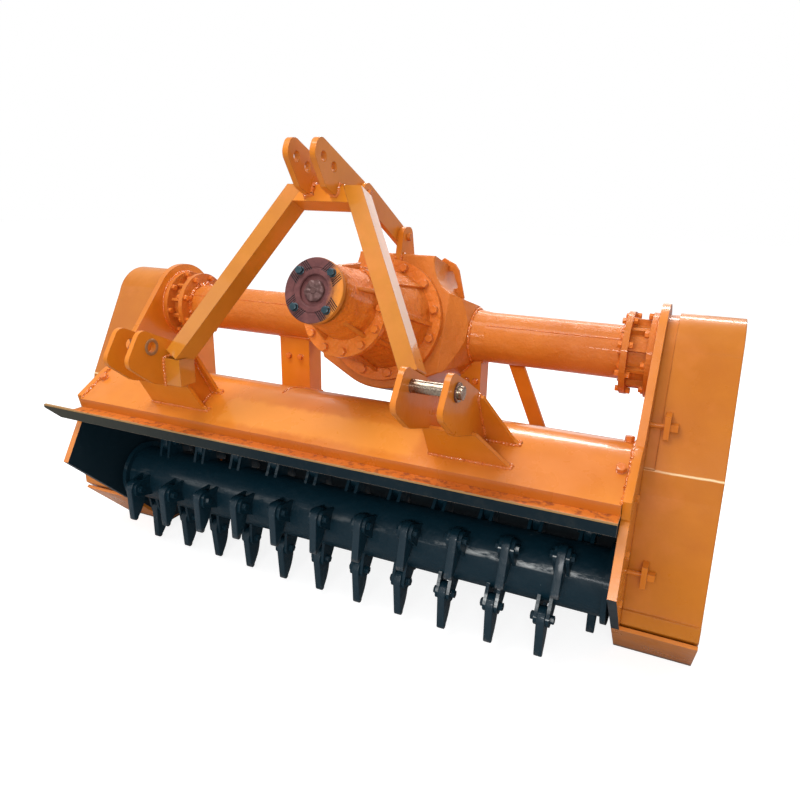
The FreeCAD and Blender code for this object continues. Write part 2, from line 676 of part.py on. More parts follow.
def pinion_cage():
    """Bearing cage: a disc bolted on the carrier, off the pinion's axis, and a round nose."""
    start = BANJO_FRONT + CARRIER_FLANGE_T + CARRIER_CONE_L
    down = V(0, -math.sin(TILT), -math.cos(TILT)) * CAGE_DROP
    disc = rod(pinion_point(start) + down, pinion_point(start + CAGE_T) + down, CAGE_R)
    end = INPUT_DIST - INPUT_T - INPUT_HUB_L - INPUT_GAP
    boss = Part.makeCone(BOSS_FOOT_R, BOSS_R, end - start, pinion_point(start), PINION_DIR)
    pieces = [disc, boss]
    for i in range(CAGE_BOLTS):
        head = rod(pinion_point(start), pinion_point(start + CAGE_T + CARRIER_BOLT_H), CAGE_BOLT_R)
        head.translate(X_AXIS * CAGE_BOLT_CIRCLE + down)
        head.rotate(DIFF + down, PINION_DIR, CAGE_BOLT_PHASE + 360.0 * i / CAGE_BOLTS)
        pieces.append(head)
    bore = rod(pinion_point(end - INPUT_SHAFT_L), pinion_point(end + 1), INPUT_SHAFT_R + BEARING_GAP)
    return fuse(pieces).cut(bore)


def rear_cover():
    """Domed cover on the back of the banjo."""
    base = -BANJO_REAR
    face = base - REAR_COVER_RIM_T
    flange = rod(pinion_point(base), pinion_point(face), REAR_COVER_R + REAR_COVER_RIM)
    sphere_r = (REAR_COVER_R ** 2 + REAR_COVER_H ** 2) / (2 * REAR_COVER_H)
    centre = pinion_point(face - REAR_COVER_H + sphere_r)
    ball = Part.makeSphere(sphere_r, centre)
    keep = rod(pinion_point(face), pinion_point(face - 2 * REAR_COVER_H), REAR_COVER_R + 1)
    return fuse([flange, ball.common(keep)])


def input_flange():
    """Driven flange on the pinion: hub, disc, recess with its nut, and four bolt holes."""
    face = INPUT_DIST
    disc = rod(pinion_point(face - INPUT_T), pinion_point(face), INPUT_R)
    back = face - INPUT_T - INPUT_HUB_L
    hub = rod(pinion_point(back), pinion_point(face - INPUT_T), INPUT_HUB_R)
    shaft = rod(pinion_point(back - INPUT_SHAFT_L), pinion_point(back), INPUT_SHAFT_R)
    body = fuse([disc, hub, shaft])
    recess = rod(pinion_point(face - INPUT_RECESS_D), pinion_point(face + 1), INPUT_RECESS_R)
    nut = rod(pinion_point(face - INPUT_RECESS_D - 1), pinion_point(face - 1), INPUT_NUT_R)
    body = fuse([body.cut(recess), nut])
    for i in range(INPUT_BOLTS):
        hole = rod(pinion_point(face - INPUT_T - 1), pinion_point(face + 1), INPUT_HOLE_R)
        hole.translate(X_AXIS * INPUT_PCD / 2)
        hole.rotate(DIFF, PINION_DIR, 360.0 * (i + 0.5) / INPUT_BOLTS)
        body = body.cut(hole)
    return body


def end_flange():
    """Right axle tube's flange."""
    start = HALF_W - END_FLANGE_IN
    return ring(V(start, 0, AXLE_Z), V(start + END_FLANGE_T, 0, AXLE_Z), END_FLANGE_R,
                TUBE_R - TUBE_WALL)


def bearing_hub():
    """Right ribbed hub between the axle's flange and the side plate's flange."""
    start = HALF_W - END_FLANGE_IN + END_FLANGE_T
    end = HALF_W - MOUNT_FLANGE_T
    pieces = [rod(V(start, 0, AXLE_Z), V(end, 0, AXLE_Z), HUB_R)]
    rib = Part.makeBox(end - start, HUB_RIB_T, HUB_RIB_R, V(start, -HUB_RIB_T / 2, AXLE_Z))
    for i in range(HUB_RIBS):
        pieces.append(about_x(rib, 360.0 * i / HUB_RIBS, V(0, 0, AXLE_Z)))
    body = fuse(pieces)
    bore = rod(V(start - 1, 0, AXLE_Z), V(end + 1, 0, AXLE_Z), TUBE_R - TUBE_WALL)
    return body.cut(bore)


def mount_flange():
    """Right flange that carries the hub on the side plate."""
    start = HALF_W - MOUNT_FLANGE_T
    return ring(V(start, 0, AXLE_Z), V(HALF_W, 0, AXLE_Z), MOUNT_FLANGE_R, TUBE_R - TUBE_WALL)


# ---------------------------------------------------------------- posts and brace
def axle_bar():
    """Axle tube as a solid bar over the whole width."""
    return rod(V(-HALF_W, 0, AXLE_Z), V(HALF_W, 0, AXLE_Z), TUBE_R)


def under_hood():
    """Everything under the hood's rear panel."""
    return prism(Part.makePolygon(yz([
        (-HOOD_R, hood_rear_z(-HOOD_R)),
        (REAR_Y, hood_rear_z(REAR_Y)),
        (REAR_Y, 0.0),
        (-HOOD_R, 0.0),
        (-HOOD_R, hood_rear_z(-HOOD_R)),
    ])), -HALF_W, HALF_W)


def post(middle_x, width):
    """Post between the hood and the axle tube: a box section, shaped to both."""
    foot = hood_rear_z(POST_D / 2) - POST_SINK
    box = Part.makeBox(width, POST_D, AXLE_Z - foot, V(middle_x - width / 2, -POST_D / 2, foot))
    inner = Part.makeBox(width - 2 * POST_T, POST_D - 2 * POST_T, AXLE_Z - foot,
                         V(middle_x - width / 2 + POST_T, -POST_D / 2 + POST_T, foot))
    return box.cut(inner).cut(axle_bar()).cut(axle_housing()).cut(under_hood())


def rear_brace():
    """Flat bar from the back of the axle tube down to the hood's rear panel."""
    top = V(HALF_W - BRACE_TOP_IN, TUBE_R + BRACE_T / 2, AXLE_Z - TUBE_R / 3)
    foot_z = hood_rear_z(BRACE_FOOT_Y)
    foot = V(HALF_W - BRACE_FOOT_IN, BRACE_FOOT_Y, foot_z)
    run = foot - top
    bar = Part.makeBox(BRACE_W, BRACE_T, run.Length + BRACE_TAIL, V(-BRACE_W / 2, -BRACE_T / 2, -BRACE_TAIL / 3))
    bar.Placement = FreeCAD.Placement(top, FreeCAD.Rotation(Z_AXIS, run))
    return bar.cut(axle_bar()).cut(axle_housing()).cut(under_hood())


# ---------------------------------------------------------------- hitch
def lean_up():
    """Direction square to the hood's front panel."""
    slope = math.radians(HOOD_FRONT_SLOPE)
    return V(0, -math.sin(slope), math.cos(slope))


def on_panel(y):
    """Point of the hood's front panel, in the plane x = 0."""
    return V(0, y, hood_front_z(y))


def link_wire():
    """Outline of a lower link plate: round the pin, then back and down to the hood."""
    run = V(0, GUSSET_T / math.cos(math.radians(HOOD_FRONT_SLOPE)), 0)
    front_foot = on_panel(GUSSET_FRONT_Y + run.y)
    rear_foot = on_panel(GUSSET_REAR_Y + run.y)
    gusset_front_top = on_panel(GUSSET_FRONT_Y) + lean_up() * GUSSET_FRONT_H
    along = V(0, math.cos(math.radians(HOOD_FRONT_SLOPE)), math.sin(math.radians(HOOD_FRONT_SLOPE)))
    gusset_back_top = gusset_front_top + along * GUSSET_T
    panel_foot = gusset_back_top - lean_up() * GUSSET_FRONT_H
    points = yz([
        (LINK_Y - LINK_NOSE_Y, LINK_Z - LINK_NOSE_Z),
        (LINK_Y - LINK_TOP_Y, LINK_Z + LINK_TOP_Z),
        (LINK_Y + LINK_BACK_Y, LINK_Z + LINK_BACK_Z),
    ])
    points += [
        rear_foot + lean_up() * (GUSSET_REAR_H + LINK_BACK_Z),
        rear_foot,
        panel_foot,
        gusset_back_top,
        gusset_front_top,
        V(0, LINK_Y - LINK_CHIN_Y, LINK_Z - LINK_CHIN_Z),
    ]
    soft = LINK_ROUND
    return rounded(points, [soft, soft, soft, soft / 2, 0, 0, 0, 0, soft])


def link_plates(middle, half, hole_r):
    """The two plates of a lower link clevis."""
    wire = link_wire()
    plates = []
    for side in (-1, 1):
        x = middle + side * half
        plate = prism(wire, x - LINK_T / 2, x + LINK_T / 2)
        hole = rod(V(x - LINK_T, LINK_Y, LINK_Z), V(x + LINK_T, LINK_Y, LINK_Z), hole_r)
        plates.append(plate.cut(hole))
    return Part.makeCompound(plates)


def link_pin():
    """Pin of the right lower link, with a ring at each end."""
    reach = LINK_HALF_RIGHT + LINK_T / 2 + LINK_PIN_OVER
    at = V(LINK_RIGHT_X, LINK_Y, LINK_Z)
    pin = rod(at - X_AXIS * reach, at + X_AXIS * reach, LINK_PIN_R)
    inner = LINK_HALF_RIGHT + LINK_T / 2 + BEARING_GAP
    rings = []
    for side in (-1, 1):
        start = at + X_AXIS * side * inner
        rings.append(rod(start, start + X_AXIS * side * LINK_RING_T, LINK_RING_R))
    return fuse([pin] + rings)


def gusset(left, right_top, right_toe, foot_y, height):
    """Plate square to the hood's front panel, with one slanted end."""
    up = lean_up()
    along = V(0, up.z, -up.y)
    foot = on_panel(foot_y)
    points = [foot + X_AXIS * left, foot + X_AXIS * right_toe,
              foot + X_AXIS * (right_toe - GUSSET_NOSE) + up * GUSSET_NOSE,
              foot + X_AXIS * right_top + up * height, foot + X_AXIS * left + up * height]
    return Part.Face(Part.makePolygon(points + points[:1])).extrude(along * GUSSET_T)


def gussets(clevis_x, half, side, toe_out):
    """Front and rear plates that carry a clevis on the hood's front panel."""
    left = clevis_x - half - side
    right = clevis_x + half + LINK_T / 2
    toe = clevis_x + half + toe_out
    front = gusset(left, right + GUSSET_NOSE, toe, GUSSET_FRONT_Y, GUSSET_FRONT_H)
    rear = gusset(right, right + GUSSET_NOSE, toe, GUSSET_REAR_Y, GUSSET_REAR_H)
    return Part.makeCompound([front, rear])


# ---------------------------------------------------------------- mast
def mast_up():
    """Direction up the leaning mast."""
    return V(0, math.sin(MAST_LEAN), math.cos(MAST_LEAN))


def mast_back():
    """Direction square to the leaning mast, to the rear."""
    return V(0, math.cos(MAST_LEAN), -math.sin(MAST_LEAN))


def mast_point(x, z):
    """Point of the mast's middle plane."""
    drop = MAST_TOP_Z - z
    return V(x, MAST_TOP_Y - drop * math.tan(MAST_LEAN), z)


def mast_bar(start, end, inset):
    """Square bar between two points of the mast's plane, its faces moved in by the inset."""
    run = end - start
    side = run.cross(mast_back()).normalize() * (MAST_W / 2 - inset)
    face = mast_back() * (MAST_D / 2 - inset)
    corners = [start - side - face, start + side - face, start + side + face, start - side + face]
    return Part.Face(Part.makePolygon(corners + corners[:1])).extrude(run)


def cross_bar(inset):
    """Square bar of the cross member, out to the legs' middles."""
    return mast_bar(V(-MAST_TOP_X, MAST_TOP_Y, MAST_TOP_Z), V(MAST_TOP_X, MAST_TOP_Y, MAST_TOP_Z), inset)


def above_cross():
    """Everything over the cross member's top face."""
    size = 4 * MAST_W
    block = Part.makeBox(8 * size, 8 * size, size, V(-4 * size, -4 * size, 0))
    top = V(0, MAST_TOP_Y, MAST_TOP_Z) + mast_up() * (MAST_W / 2)
    block.Placement = FreeCAD.Placement(top, FreeCAD.Rotation(Z_AXIS, mast_up())).multiply(block.Placement)
    return block


def leg_bar(foot, inset):
    """Square bar of a leg, past the cross member's top."""
    side = -1 if foot.x < 0 else 1
    top = V(side * MAST_TOP_X, MAST_TOP_Y, MAST_TOP_Z)
    return mast_bar(foot, top + (top - foot).normalize() * MAST_W, inset)


def left_foot():
    """Knee of the left leg, beside the left clevis."""
    plate_face = LINK_LEFT_X + LINK_HALF_LEFT + LINK_T / 2
    return mast_point(plate_face + MAST_STUB_W / 2, LINK_Z - MAST_KNEE_DROP)


def right_foot():
    """End of the right leg, beside the right clevis."""
    plate_face = LINK_RIGHT_X - LINK_HALF_RIGHT - LINK_T / 2
    return mast_point(plate_face - MAST_W / 2 + MAST_FOOT_IN, LINK_Z)


def left_stub(inset):
    """Upright foot of the left leg."""
    size = MAST_STUB_W - 2 * inset
    knee = left_foot()
    foot_z = knee.z - MAST_STUB
    return Part.makeBox(size, size, knee.z - foot_z, V(knee.x - size / 2, knee.y - size / 2, foot_z))


def mast_leg_left():
    """Left leg of the mast with its upright foot."""
    outer = fuse([leg_bar(left_foot(), 0.0), left_stub(0.0)])
    inner = fuse([leg_bar(left_foot(), MAST_WALL), left_stub(MAST_WALL)])
    past = Part.makeBox(MAST_D, MAST_D * 3, MAST_D * 3,
                        left_foot() + V(-MAST_STUB_W / 2 - MAST_D, -MAST_D * 1.5, -MAST_D * 1.5))
    return outer.cut(inner).cut(above_cross()).cut(past)


def mast_leg_right():
    """Right leg of the mast, ending on the clevis plate."""
    leg = leg_bar(right_foot(), 0.0).cut(leg_bar(right_foot(), MAST_WALL))
    plate_face = LINK_RIGHT_X - LINK_HALF_RIGHT - LINK_T / 2
    past = Part.makeBox(MAST_D, MAST_D * 3, MAST_D * 3,
                        V(plate_face, right_foot().y - MAST_D * 1.5, right_foot().z - MAST_D * 1.5))
    return leg.cut(above_cross()).cut(past)


def mast_cross():
    """Cross member between the legs' tops."""
    legs = fuse([leg_bar(left_foot(), 0.0), leg_bar(right_foot(), 0.0)])
    return cross_bar(0.0).cut(cross_bar(MAST_WALL)).cut(legs)


def ear_back():
    """Direction along the ears, to the rear."""
    tilt = math.radians(EAR_TILT)
    return V(0, math.cos(tilt), -math.sin(tilt))


def ear_up():
    """Direction square to the ears' length, upwards."""
    tilt = math.radians(EAR_TILT)
    return V(0, math.sin(tilt), math.cos(tilt))


def stay_top():
    """Middle of the stay's upper bolt, in the plane x = 0."""
    return V(0, EAR_FRONT_Y, EAR_FRONT_Z) + ear_back() * (EAR_L - STAY_W / 2) + ear_up() * STAY_TOP_RISE


def stay_foot():
    """Middle of the stay's lower bolt, in the plane x = 0."""
    return V(0, STAY_FOOT_Y, AXLE_Z + BANJO_TOP + STAY_FOOT_RISE)


def ear_wire():
    """Outline of a top link ear."""
    back = ear_back()
    up = ear_up()
    nose = V(0, EAR_FRONT_Y, EAR_FRONT_Z)
    member = V(0, MAST_TOP_Y, MAST_TOP_Z) - mast_back() * (MAST_D / 2) - mast_up() * EAR_FOOT_DROP
    points = [
        nose - back * EAR_R + up * EAR_R,
        nose + back * EAR_L + up * EAR_R,
        nose + back * EAR_L - up * EAR_TAIL_DROP,
        member - mast_back() * EAR_FOOT_NEAR,
        member - mast_back() * EAR_FOOT_FAR,
        nose - back * EAR_R - up * EAR_NOSE_DROP,
    ]
    soft = EAR_ROUND
    return rounded(points, [soft, soft, EAR_TAIL_DROP, EAR_FOOT_ROUND, EAR_FOOT_ROUND, soft])


def top_link_ears():
    """The two ears for the top link, each with two holes, seated on the cross member."""
    ears = []
    for side in (-1, 1):
        x = side * EAR_HALF
        ear = prism(ear_wire(), x - EAR_T / 2, x + EAR_T / 2).cut(cross_bar(0.0))
        places = [V(x, EAR_FRONT_Y, EAR_FRONT_Z) + ear_back() * (EAR_PITCH * step) for step in (0, 1)]
        for at in places:
            ear = ear.cut(rod(at - X_AXIS * EAR_T, at + X_AXIS * EAR_T, EAR_HOLE_R))
        ears.append(ear)
    bolt = stay_top()
    ears[1] = ears[1].cut(rod(bolt, bolt + X_AXIS * (2 * EAR_HALF), STAY_PIN_R + BEARING_GAP))
    return Part.makeCompound(ears)


def mast_stay():
    """Flat bar from the right ear back and down to the banjo."""
    top = stay_top()
    foot = stay_foot()
    near = EAR_HALF + EAR_T / 2
    far = near + STAY_T
    run = (foot - top).normalize()
    side = V(0, -run.z, run.y) * (STAY_W / 2)
    ends = run * (STAY_W / 2)
    points = [top - ends - side, foot + ends - side, foot + ends + side, top - ends + side]
    bar = prism(rounded(points, STAY_W / 2 - 1.0), near, far)
    for at in (top, foot):
        bar = bar.cut(rod(at + X_AXIS * (near - 1), at + X_AXIS * (far + 1), STAY_PIN_R + BEARING_GAP))
    return bar


def stay_pedestal():
    """Lug on top of the banjo for the stay's foot."""
    near = EAR_HALF + EAR_T / 2 + STAY_T
    foot = stay_foot()
    base_z = AXLE_Z + (BANJO_TOP + CHAMBER_R) / 2 + PEDESTAL_SINK
    half = PEDESTAL_L / 2
    points = [V(0, foot.y - half, base_z), V(0, foot.y + half, base_z),
              V(0, foot.y + half, foot.z - STAY_W),
              foot + V(0, STAY_W / 2, STAY_W / 2), foot + V(0, -STAY_W / 2, STAY_W / 2),
              V(0, foot.y - half, foot.z - STAY_W)]
    lug = prism(rounded(points, [0, 0, 0, STAY_W / 2 - 2, STAY_W / 2 - 2, 0]), near, near + PEDESTAL_T)
    hole = rod(foot + X_AXIS * (near - 1), foot + X_AXIS * (near + PEDESTAL_T + 1),
               STAY_PIN_R + BEARING_GAP)
    return lug.cut(hole).cut(banjo())


def stay_bolts():
    """The stay's two bolts, plain round."""
    near = EAR_HALF - EAR_T / 2 - STAY_BOLT_OVER
    upper = rod(stay_top() + X_AXIS * near,
                stay_top() + X_AXIS * (EAR_HALF + EAR_T / 2 + STAY_T + STAY_BOLT_OVER), STAY_PIN_R)
    start = EAR_HALF + EAR_T / 2 - STAY_BOLT_OVER
    lower = rod(stay_foot() + X_AXIS * start,
                stay_foot() + X_AXIS * (EAR_HALF + EAR_T / 2 + STAY_T + PEDESTAL_T + STAY_BOLT_OVER),
                STAY_PIN_R)
    return Part.makeCompound([upper, lower])


# ---------------------------------------------------------------- rotor
def flail_places():
    """Middle x and pin angle (from straight down towards the front) of every flail.

    The angle runs from -180 to 180, so that its sign says which side the flail hangs on.
    """
    span = WORK_WIDTH - 2 * (DISC_GAP + DISC_T + FLAIL_END)
    pitch = span / (FLAIL_COUNT - 1)
    places = []
    for i in range(FLAIL_COUNT):
        x = -span / 2 + pitch * i
        turn = FLAIL_PHASE + 360.0 * (i % FLAIL_ROWS) / FLAIL_ROWS
        turn += FLAIL_TWIST * (x / span)
        places.append((x, (turn + 180.0) % 360.0 - 180.0))
    return places


def lug_pair():
    """Two lugs and the pin's ends for a flail that hangs straight down at x = 0."""
    inner = FLAIL_T / 2 + LUG_GAP
    half = LUG_HALF_W
    points = [(-half, LUG_SINK - DRUM_R), (half, LUG_SINK - DRUM_R), (LUG_END_R, -PIN_CIRCLE - LUG_END_R),
              (-LUG_END_R, -PIN_CIRCLE - LUG_END_R)]
    wire = rounded(yz(points), [0, 0, LUG_ROUND, LUG_ROUND])
    pieces = []
    for side in (-1, 1):
        near = side * inner
        far = side * (inner + LUG_T)
        pieces.append(prism(wire, min(near, far), max(near, far)))
        pieces.append(rod(V(far, 0, -PIN_CIRCLE), V(far + side * PIN_HEAD, 0, -PIN_CIRCLE), PIN_R))
    return pieces


def flail():
    """One claw-shaped flail that hangs straight down at x = 0, its cutting edge to the front."""
    tip = -PIN_CIRCLE - FLAIL_REACH
    head = -PIN_CIRCLE
    r = FLAIL_HEAD_R
    t = FLAIL_TIP_R
    front_top = V(0, -r, head)
    back_top = V(0, r, head)
    edge_y = FLAIL_EDGE_IN - r
    tip_front = V(0, edge_y, tip + t)
    tip_back = V(0, edge_y + 2 * t, tip + t)
    edges = [
        Part.Arc(front_top, V(0, 0, head + r), back_top),
        Part.Arc(back_top, V(0, FLAIL_WAIST, head - FLAIL_REACH / 2), tip_back),
        Part.Arc(tip_back, V(0, edge_y + t, tip), tip_front),
        Part.LineSegment(tip_front, front_top),
    ]
    wire = Part.Wire([edge.toShape() for edge in edges])
    return prism(wire, -FLAIL_T / 2, FLAIL_T / 2)


def hanging(shape, turn):
    """A flail swung about its pin so that it hangs down, or lies on the drum."""
    lean = max(-FLAIL_REST, min(FLAIL_REST, turn))
    return about_x(shape, lean, V(0, 0, -PIN_CIRCLE))


def at_flail(shape, place):
    """A copy of a shape drawn for a hanging flail, moved to its place on the rotor."""
    x, turn = place
    moved = shape.copy()
    moved.rotate(V(0, 0, 0), X_AXIS, -turn)
    moved.translate(ROTOR + X_AXIS * x)
    return moved


def rotor_drum():
    """Drum with the lugs of every flail."""
    end = HALF_W - DISC_GAP
    drum = ring(ROTOR - X_AXIS * (end - DISC_T), ROTOR + X_AXIS * (end - DISC_T), DRUM_R,
                DRUM_R - DRUM_WALL)
    pieces = [drum]
    pair = lug_pair()
    for place in flail_places():
        pieces += [at_flail(piece, place) for piece in pair]
    return fuse(pieces)


def rotor_disc():
    """Right end disc with its stub shaft."""
    start = HALF_W - DISC_GAP - DISC_T
    disc = rod(ROTOR + X_AXIS * start, ROTOR + X_AXIS * (start + DISC_T), DISC_R)
    shaft = rod(ROTOR + X_AXIS * start, ROTOR + X_AXIS * (PLATE_OUT + SHAFT_OUT), SHAFT_R)
    return fuse([disc, shaft])


def rotor_bearing():
    """Right bearing of the rotor, on the outside of the side plate."""
    start = ROTOR + X_AXIS * (HALF_W + PLATE_WEB_T)
    return ring(start, start + X_AXIS * BEARING_T, BEARING_R, SHAFT_R + BEARING_GAP)


def flails():
    """All the flails, as they hang at rest."""
    one = flail()
    return Part.makeCompound([at_flail(hanging(one, place[1]), place) for place in flail_places()])


# ---------------------------------------------------------------- assembly
def both(name, shape):
    """The right piece and its mirror image, under their names."""
    return {name + "_right": shape, name + "_left": mirrored(shape)}


def build():
    """All nodes, by name, before they are moved to the final origin."""
    nodes = {
        "hood_shell": hood_shell(),
        "hood_lip": hood_lip(),
        "axle_housing": axle_housing(),
        "differential": differential(),
        "differential_carrier": carrier(),
        "pinion_cage": pinion_cage(),
        "banjo_rear_cover": rear_cover(),
        "input_flange": input_flange(),
        "axle_post_left": post(POST_LEFT_X, POST_W),
        "axle_post_right": post(POST_RIGHT_X, POST_RIGHT_W),
        "rear_brace": rear_brace(),
        "link_plates_left": link_plates(LINK_LEFT_X, LINK_HALF_LEFT, LINK_HOLE_R),
        "link_plates_right": link_plates(LINK_RIGHT_X, LINK_HALF_RIGHT, LINK_PIN_R + LINK_PIN_GAP),
        "link_pin_right": link_pin(),
        "link_gussets_left": gussets(LINK_LEFT_X, LINK_HALF_LEFT, GUSSET_SIDE_LEFT, GUSSET_TOE_LEFT),
        "link_gussets_right": gussets(LINK_RIGHT_X, LINK_HALF_RIGHT, GUSSET_SIDE_RIGHT, GUSSET_TOE_RIGHT),
        "mast_stay": mast_stay(),
        "stay_pedestal": stay_pedestal(),
        "stay_bolts": stay_bolts(),
        "mast_leg_left": mast_leg_left(),
        "mast_leg_right": mast_leg_right(),
        "mast_cross_member": mast_cross(),
        "top_link_ears": top_link_ears(),
        "rotor_drum": rotor_drum(),
        "flails": flails(),
    }
    nodes.update(both("side_plate", side_plate()))
    nodes.update(both("drive_cover", drive_cover()))
    nodes.update(both("skid_shoe", skid_shoe()))
    nodes.update(both("cover_clamps", cover_clamps()))
    nodes.update(both("axle_end_flange", end_flange()))
    nodes.update(both("bearing_hub", bearing_hub()))
    nodes.update(both("hub_mount_flange", mount_flange()))
    nodes.update(both("rotor_disc", rotor_disc()))
    nodes.update(both("rotor_bearing", rotor_bearing()))
    return nodes


def main():
    """Write every node, with the origin under the middle of the depth."""
    os.makedirs("parts", exist_ok=True)
    nodes = build()
    low = min(shape.BoundBox.YMin for shape in nodes.values())
    high = max(shape.BoundBox.YMax for shape in nodes.values())
    shift = V(0, -(low + high) / 2, 0)
    for name, shape in nodes.items():
        shape.translate(shift)
        shape.exportStep("parts/" + name + ".step")
        box = shape.BoundBox
        print(name, len(shape.Solids), "valid", shape.isValid(), round(shape.Volume / 1e6, 3),
              [round(v, 1) for v in (box.XMin, box.XMax, box.YMin, box.YMax, box.ZMin, box.ZMax)])
    print("shift", shift)


main()
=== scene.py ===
# %% [markdown]
# # Branch shredder
# A lesson in dressing a machine whose solid model is already made. The model gives every
# size; here its surfaces get paint, castings, bare steel, welds and bolts, one cell each.

# %% Load the frame
import bmesh
import bpy
import math
import random
from mathutils import Matrix, Vector
from mathutils import noise as lump


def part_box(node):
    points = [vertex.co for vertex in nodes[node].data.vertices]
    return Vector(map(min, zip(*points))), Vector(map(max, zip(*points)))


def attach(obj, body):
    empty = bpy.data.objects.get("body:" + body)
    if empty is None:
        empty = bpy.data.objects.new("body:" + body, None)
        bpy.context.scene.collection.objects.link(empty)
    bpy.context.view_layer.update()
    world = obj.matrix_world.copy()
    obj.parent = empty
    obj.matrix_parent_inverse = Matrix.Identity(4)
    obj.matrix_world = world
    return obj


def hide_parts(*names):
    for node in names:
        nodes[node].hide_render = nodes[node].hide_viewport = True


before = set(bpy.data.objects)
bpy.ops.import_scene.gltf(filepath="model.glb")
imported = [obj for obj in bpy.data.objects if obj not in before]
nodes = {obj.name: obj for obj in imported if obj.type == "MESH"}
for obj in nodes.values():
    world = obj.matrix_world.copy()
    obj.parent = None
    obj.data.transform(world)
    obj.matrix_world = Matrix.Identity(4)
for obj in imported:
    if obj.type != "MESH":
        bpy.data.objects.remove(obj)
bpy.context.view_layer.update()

SIDES = ((-1, "left"), (1, "right"))
SIDE = Vector((1, 0, 0))


def box_middle(name):
    """The middle of a node's box, as three numbers."""
    return [(low + high) / 2 for low, high in zip(*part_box(name))]


# %% [markdown]
# Real paint and steel are never even, so every finish below is worked out from noise, places
# and directions on the surface. Small helpers keep those recipes short: `shader` starts a
# material with one Principled shader, `add` puts a node into it and sets its values, `link`
# joins two sockets, and the rest are the few sums that every finish needs.

# %% Material helpers


def build_in(node_tree):
    """From here on the helpers add their nodes to this tree."""
    global tree
    tree = node_tree
    return node_tree


def shader(name):
    """A new node material, open for the helpers; gives the material and its main shader."""
    mat = bpy.data.materials.new(name)
    mat.use_nodes = True
    return mat, build_in(mat.node_tree).nodes["Principled BSDF"]


def link(start, end):
    """Join two sockets of one tree."""
    start.id_data.links.new(start, end)


def add(kind, values=None, **settings):
    """Put in a node, set its properties and then its sockets' values."""
    made = tree.nodes.new("ShaderNode" + kind)
    for key, value in settings.items():
        setattr(made, key, value)
    for key, value in (values or {}).items():
        made.inputs[key].default_value = value
    return made


def grey(value):
    """A grey for ramps that carry a number."""
    return (value, value, value, 1)


def ramp(source, stops):
    """Colour ramp over a value: stops are (place, colour or number) pairs."""
    made = add("ValToRGB")
    band = made.color_ramp
    while len(band.elements) < len(stops):
        band.elements.new(0.5)
    for element, (place, colour) in zip(band.elements, stops):
        element.position = place
        shade = colour if isinstance(colour, tuple) else grey(colour)
        element.color = shade if len(shade) == 4 else (*shade, 1)
    link(source, made.inputs["Fac"])
    return made.outputs["Color"]


def noise(scale, detail=4.0, rough=0.55, stretch=None):
    """Noise on the object's own coordinates, stretched where asked."""
    where = add("TexCoord").outputs["Object"]
    if stretch:
        mapping = add("Mapping", {"Scale": stretch})
        link(where, mapping.inputs["Vector"])
        where = mapping.outputs["Vector"]
    made = add("TexNoise", {"Scale": scale, "Detail": detail, "Roughness": rough})
    link(where, made.inputs["Vector"])
    return made.outputs["Fac"]


def mixed(factor, first, second):
    """Mix two colours; each may be a socket or a colour."""
    made = add("Mix", data_type="RGBA")
    for value, socket in ((factor, 0), (first, 6), (second, 7)):
        if isinstance(value, bpy.types.NodeSocket):
            link(value, made.inputs[socket])
        else:
            made.inputs[socket].default_value = value if socket == 0 else (*value[:3], 1)
    return made.outputs[2]


def sums(operation, first, second, clamp=False):
    """One math step; each side may be a socket or a number."""
    made = add("Math", operation=operation, use_clamp=clamp)
    for index, value in enumerate((first, second)):
        if isinstance(value, bpy.types.NodeSocket):
            link(value, made.inputs[index])
        else:
            made.inputs[index].default_value = value
    return made.outputs[0]


def plus(first, second, clamp=False):
    """Two values added."""
    return sums("ADD", first, second, clamp)


def minus(first, second, clamp=False):
    """The second value taken from the first."""
    return sums("SUBTRACT", first, second, clamp)


def times(first, *others):
    """Values multiplied together."""
    for other in others:
        first = sums("MULTIPLY", first, other)
    return first


def wobble(amount, scale, detail, rough):
    """Noise about zero, as far as an amount."""
    return times(minus(noise(scale, detail, rough), 0.5), amount)


def three(vector):
    """A vector as three numbers."""
    parts = add("SeparateXYZ")
    link(vector, parts.inputs[0])
    return parts.outputs["X"], parts.outputs["Y"], parts.outputs["Z"]


def axes():
    """The object's own x, y and z."""
    return three(add("TexCoord").outputs["Object"])


def facing():
    """The surface's own direction."""
    return three(add("NewGeometry").outputs["Normal"])


def band(value, low, high, soft):
    """1 where a value lies between two limits, with soft ends."""
    rise = sums("DIVIDE", minus(value, low), soft, clamp=True)
    fall = sums("DIVIDE", minus(high, value), soft, clamp=True)
    return times(rise, fall)


def bumps(bsdf, layers, rounding=0.0):
    """Stack bump layers (height socket, distance, strength) on the shader's normal."""
    normal = None
    if rounding:
        soft = add("Bevel", {"Radius": rounding}, samples=4)
        normal = soft.outputs["Normal"]
    for height, distance, strength in layers:
        made = add("Bump", {"Distance": distance, "Strength": strength})
        link(height, made.inputs["Height"])
        if normal:
            link(normal, made.inputs["Normal"])
        normal = made.outputs["Normal"]
    link(normal, bsdf.inputs["Normal"])


def edge_wear(radius, amount):
    """A mask of worn edges: where the rounded normal leaves the flat one, broken by noise."""
    soft = add("Bevel", {"Radius": radius}, samples=4)
    flat = add("NewGeometry")
    product = add("VectorMath", operation="DOT_PRODUCT")
    link(soft.outputs["Normal"], product.inputs[0])
    link(flat.outputs["Normal"], product.inputs[1])
    edge = minus(1.0, product.outputs["Value"])
    level = times(edge, noise(38, 6, 0.65))
    return ramp(level, [(amount, 0.0), (amount + 0.05, 1.0)])


def set_values(bsdf, values):
    """Fixed values of a shader, by their sockets' names."""
    for key, value in values.items():
        bsdf.inputs[key].default_value = value


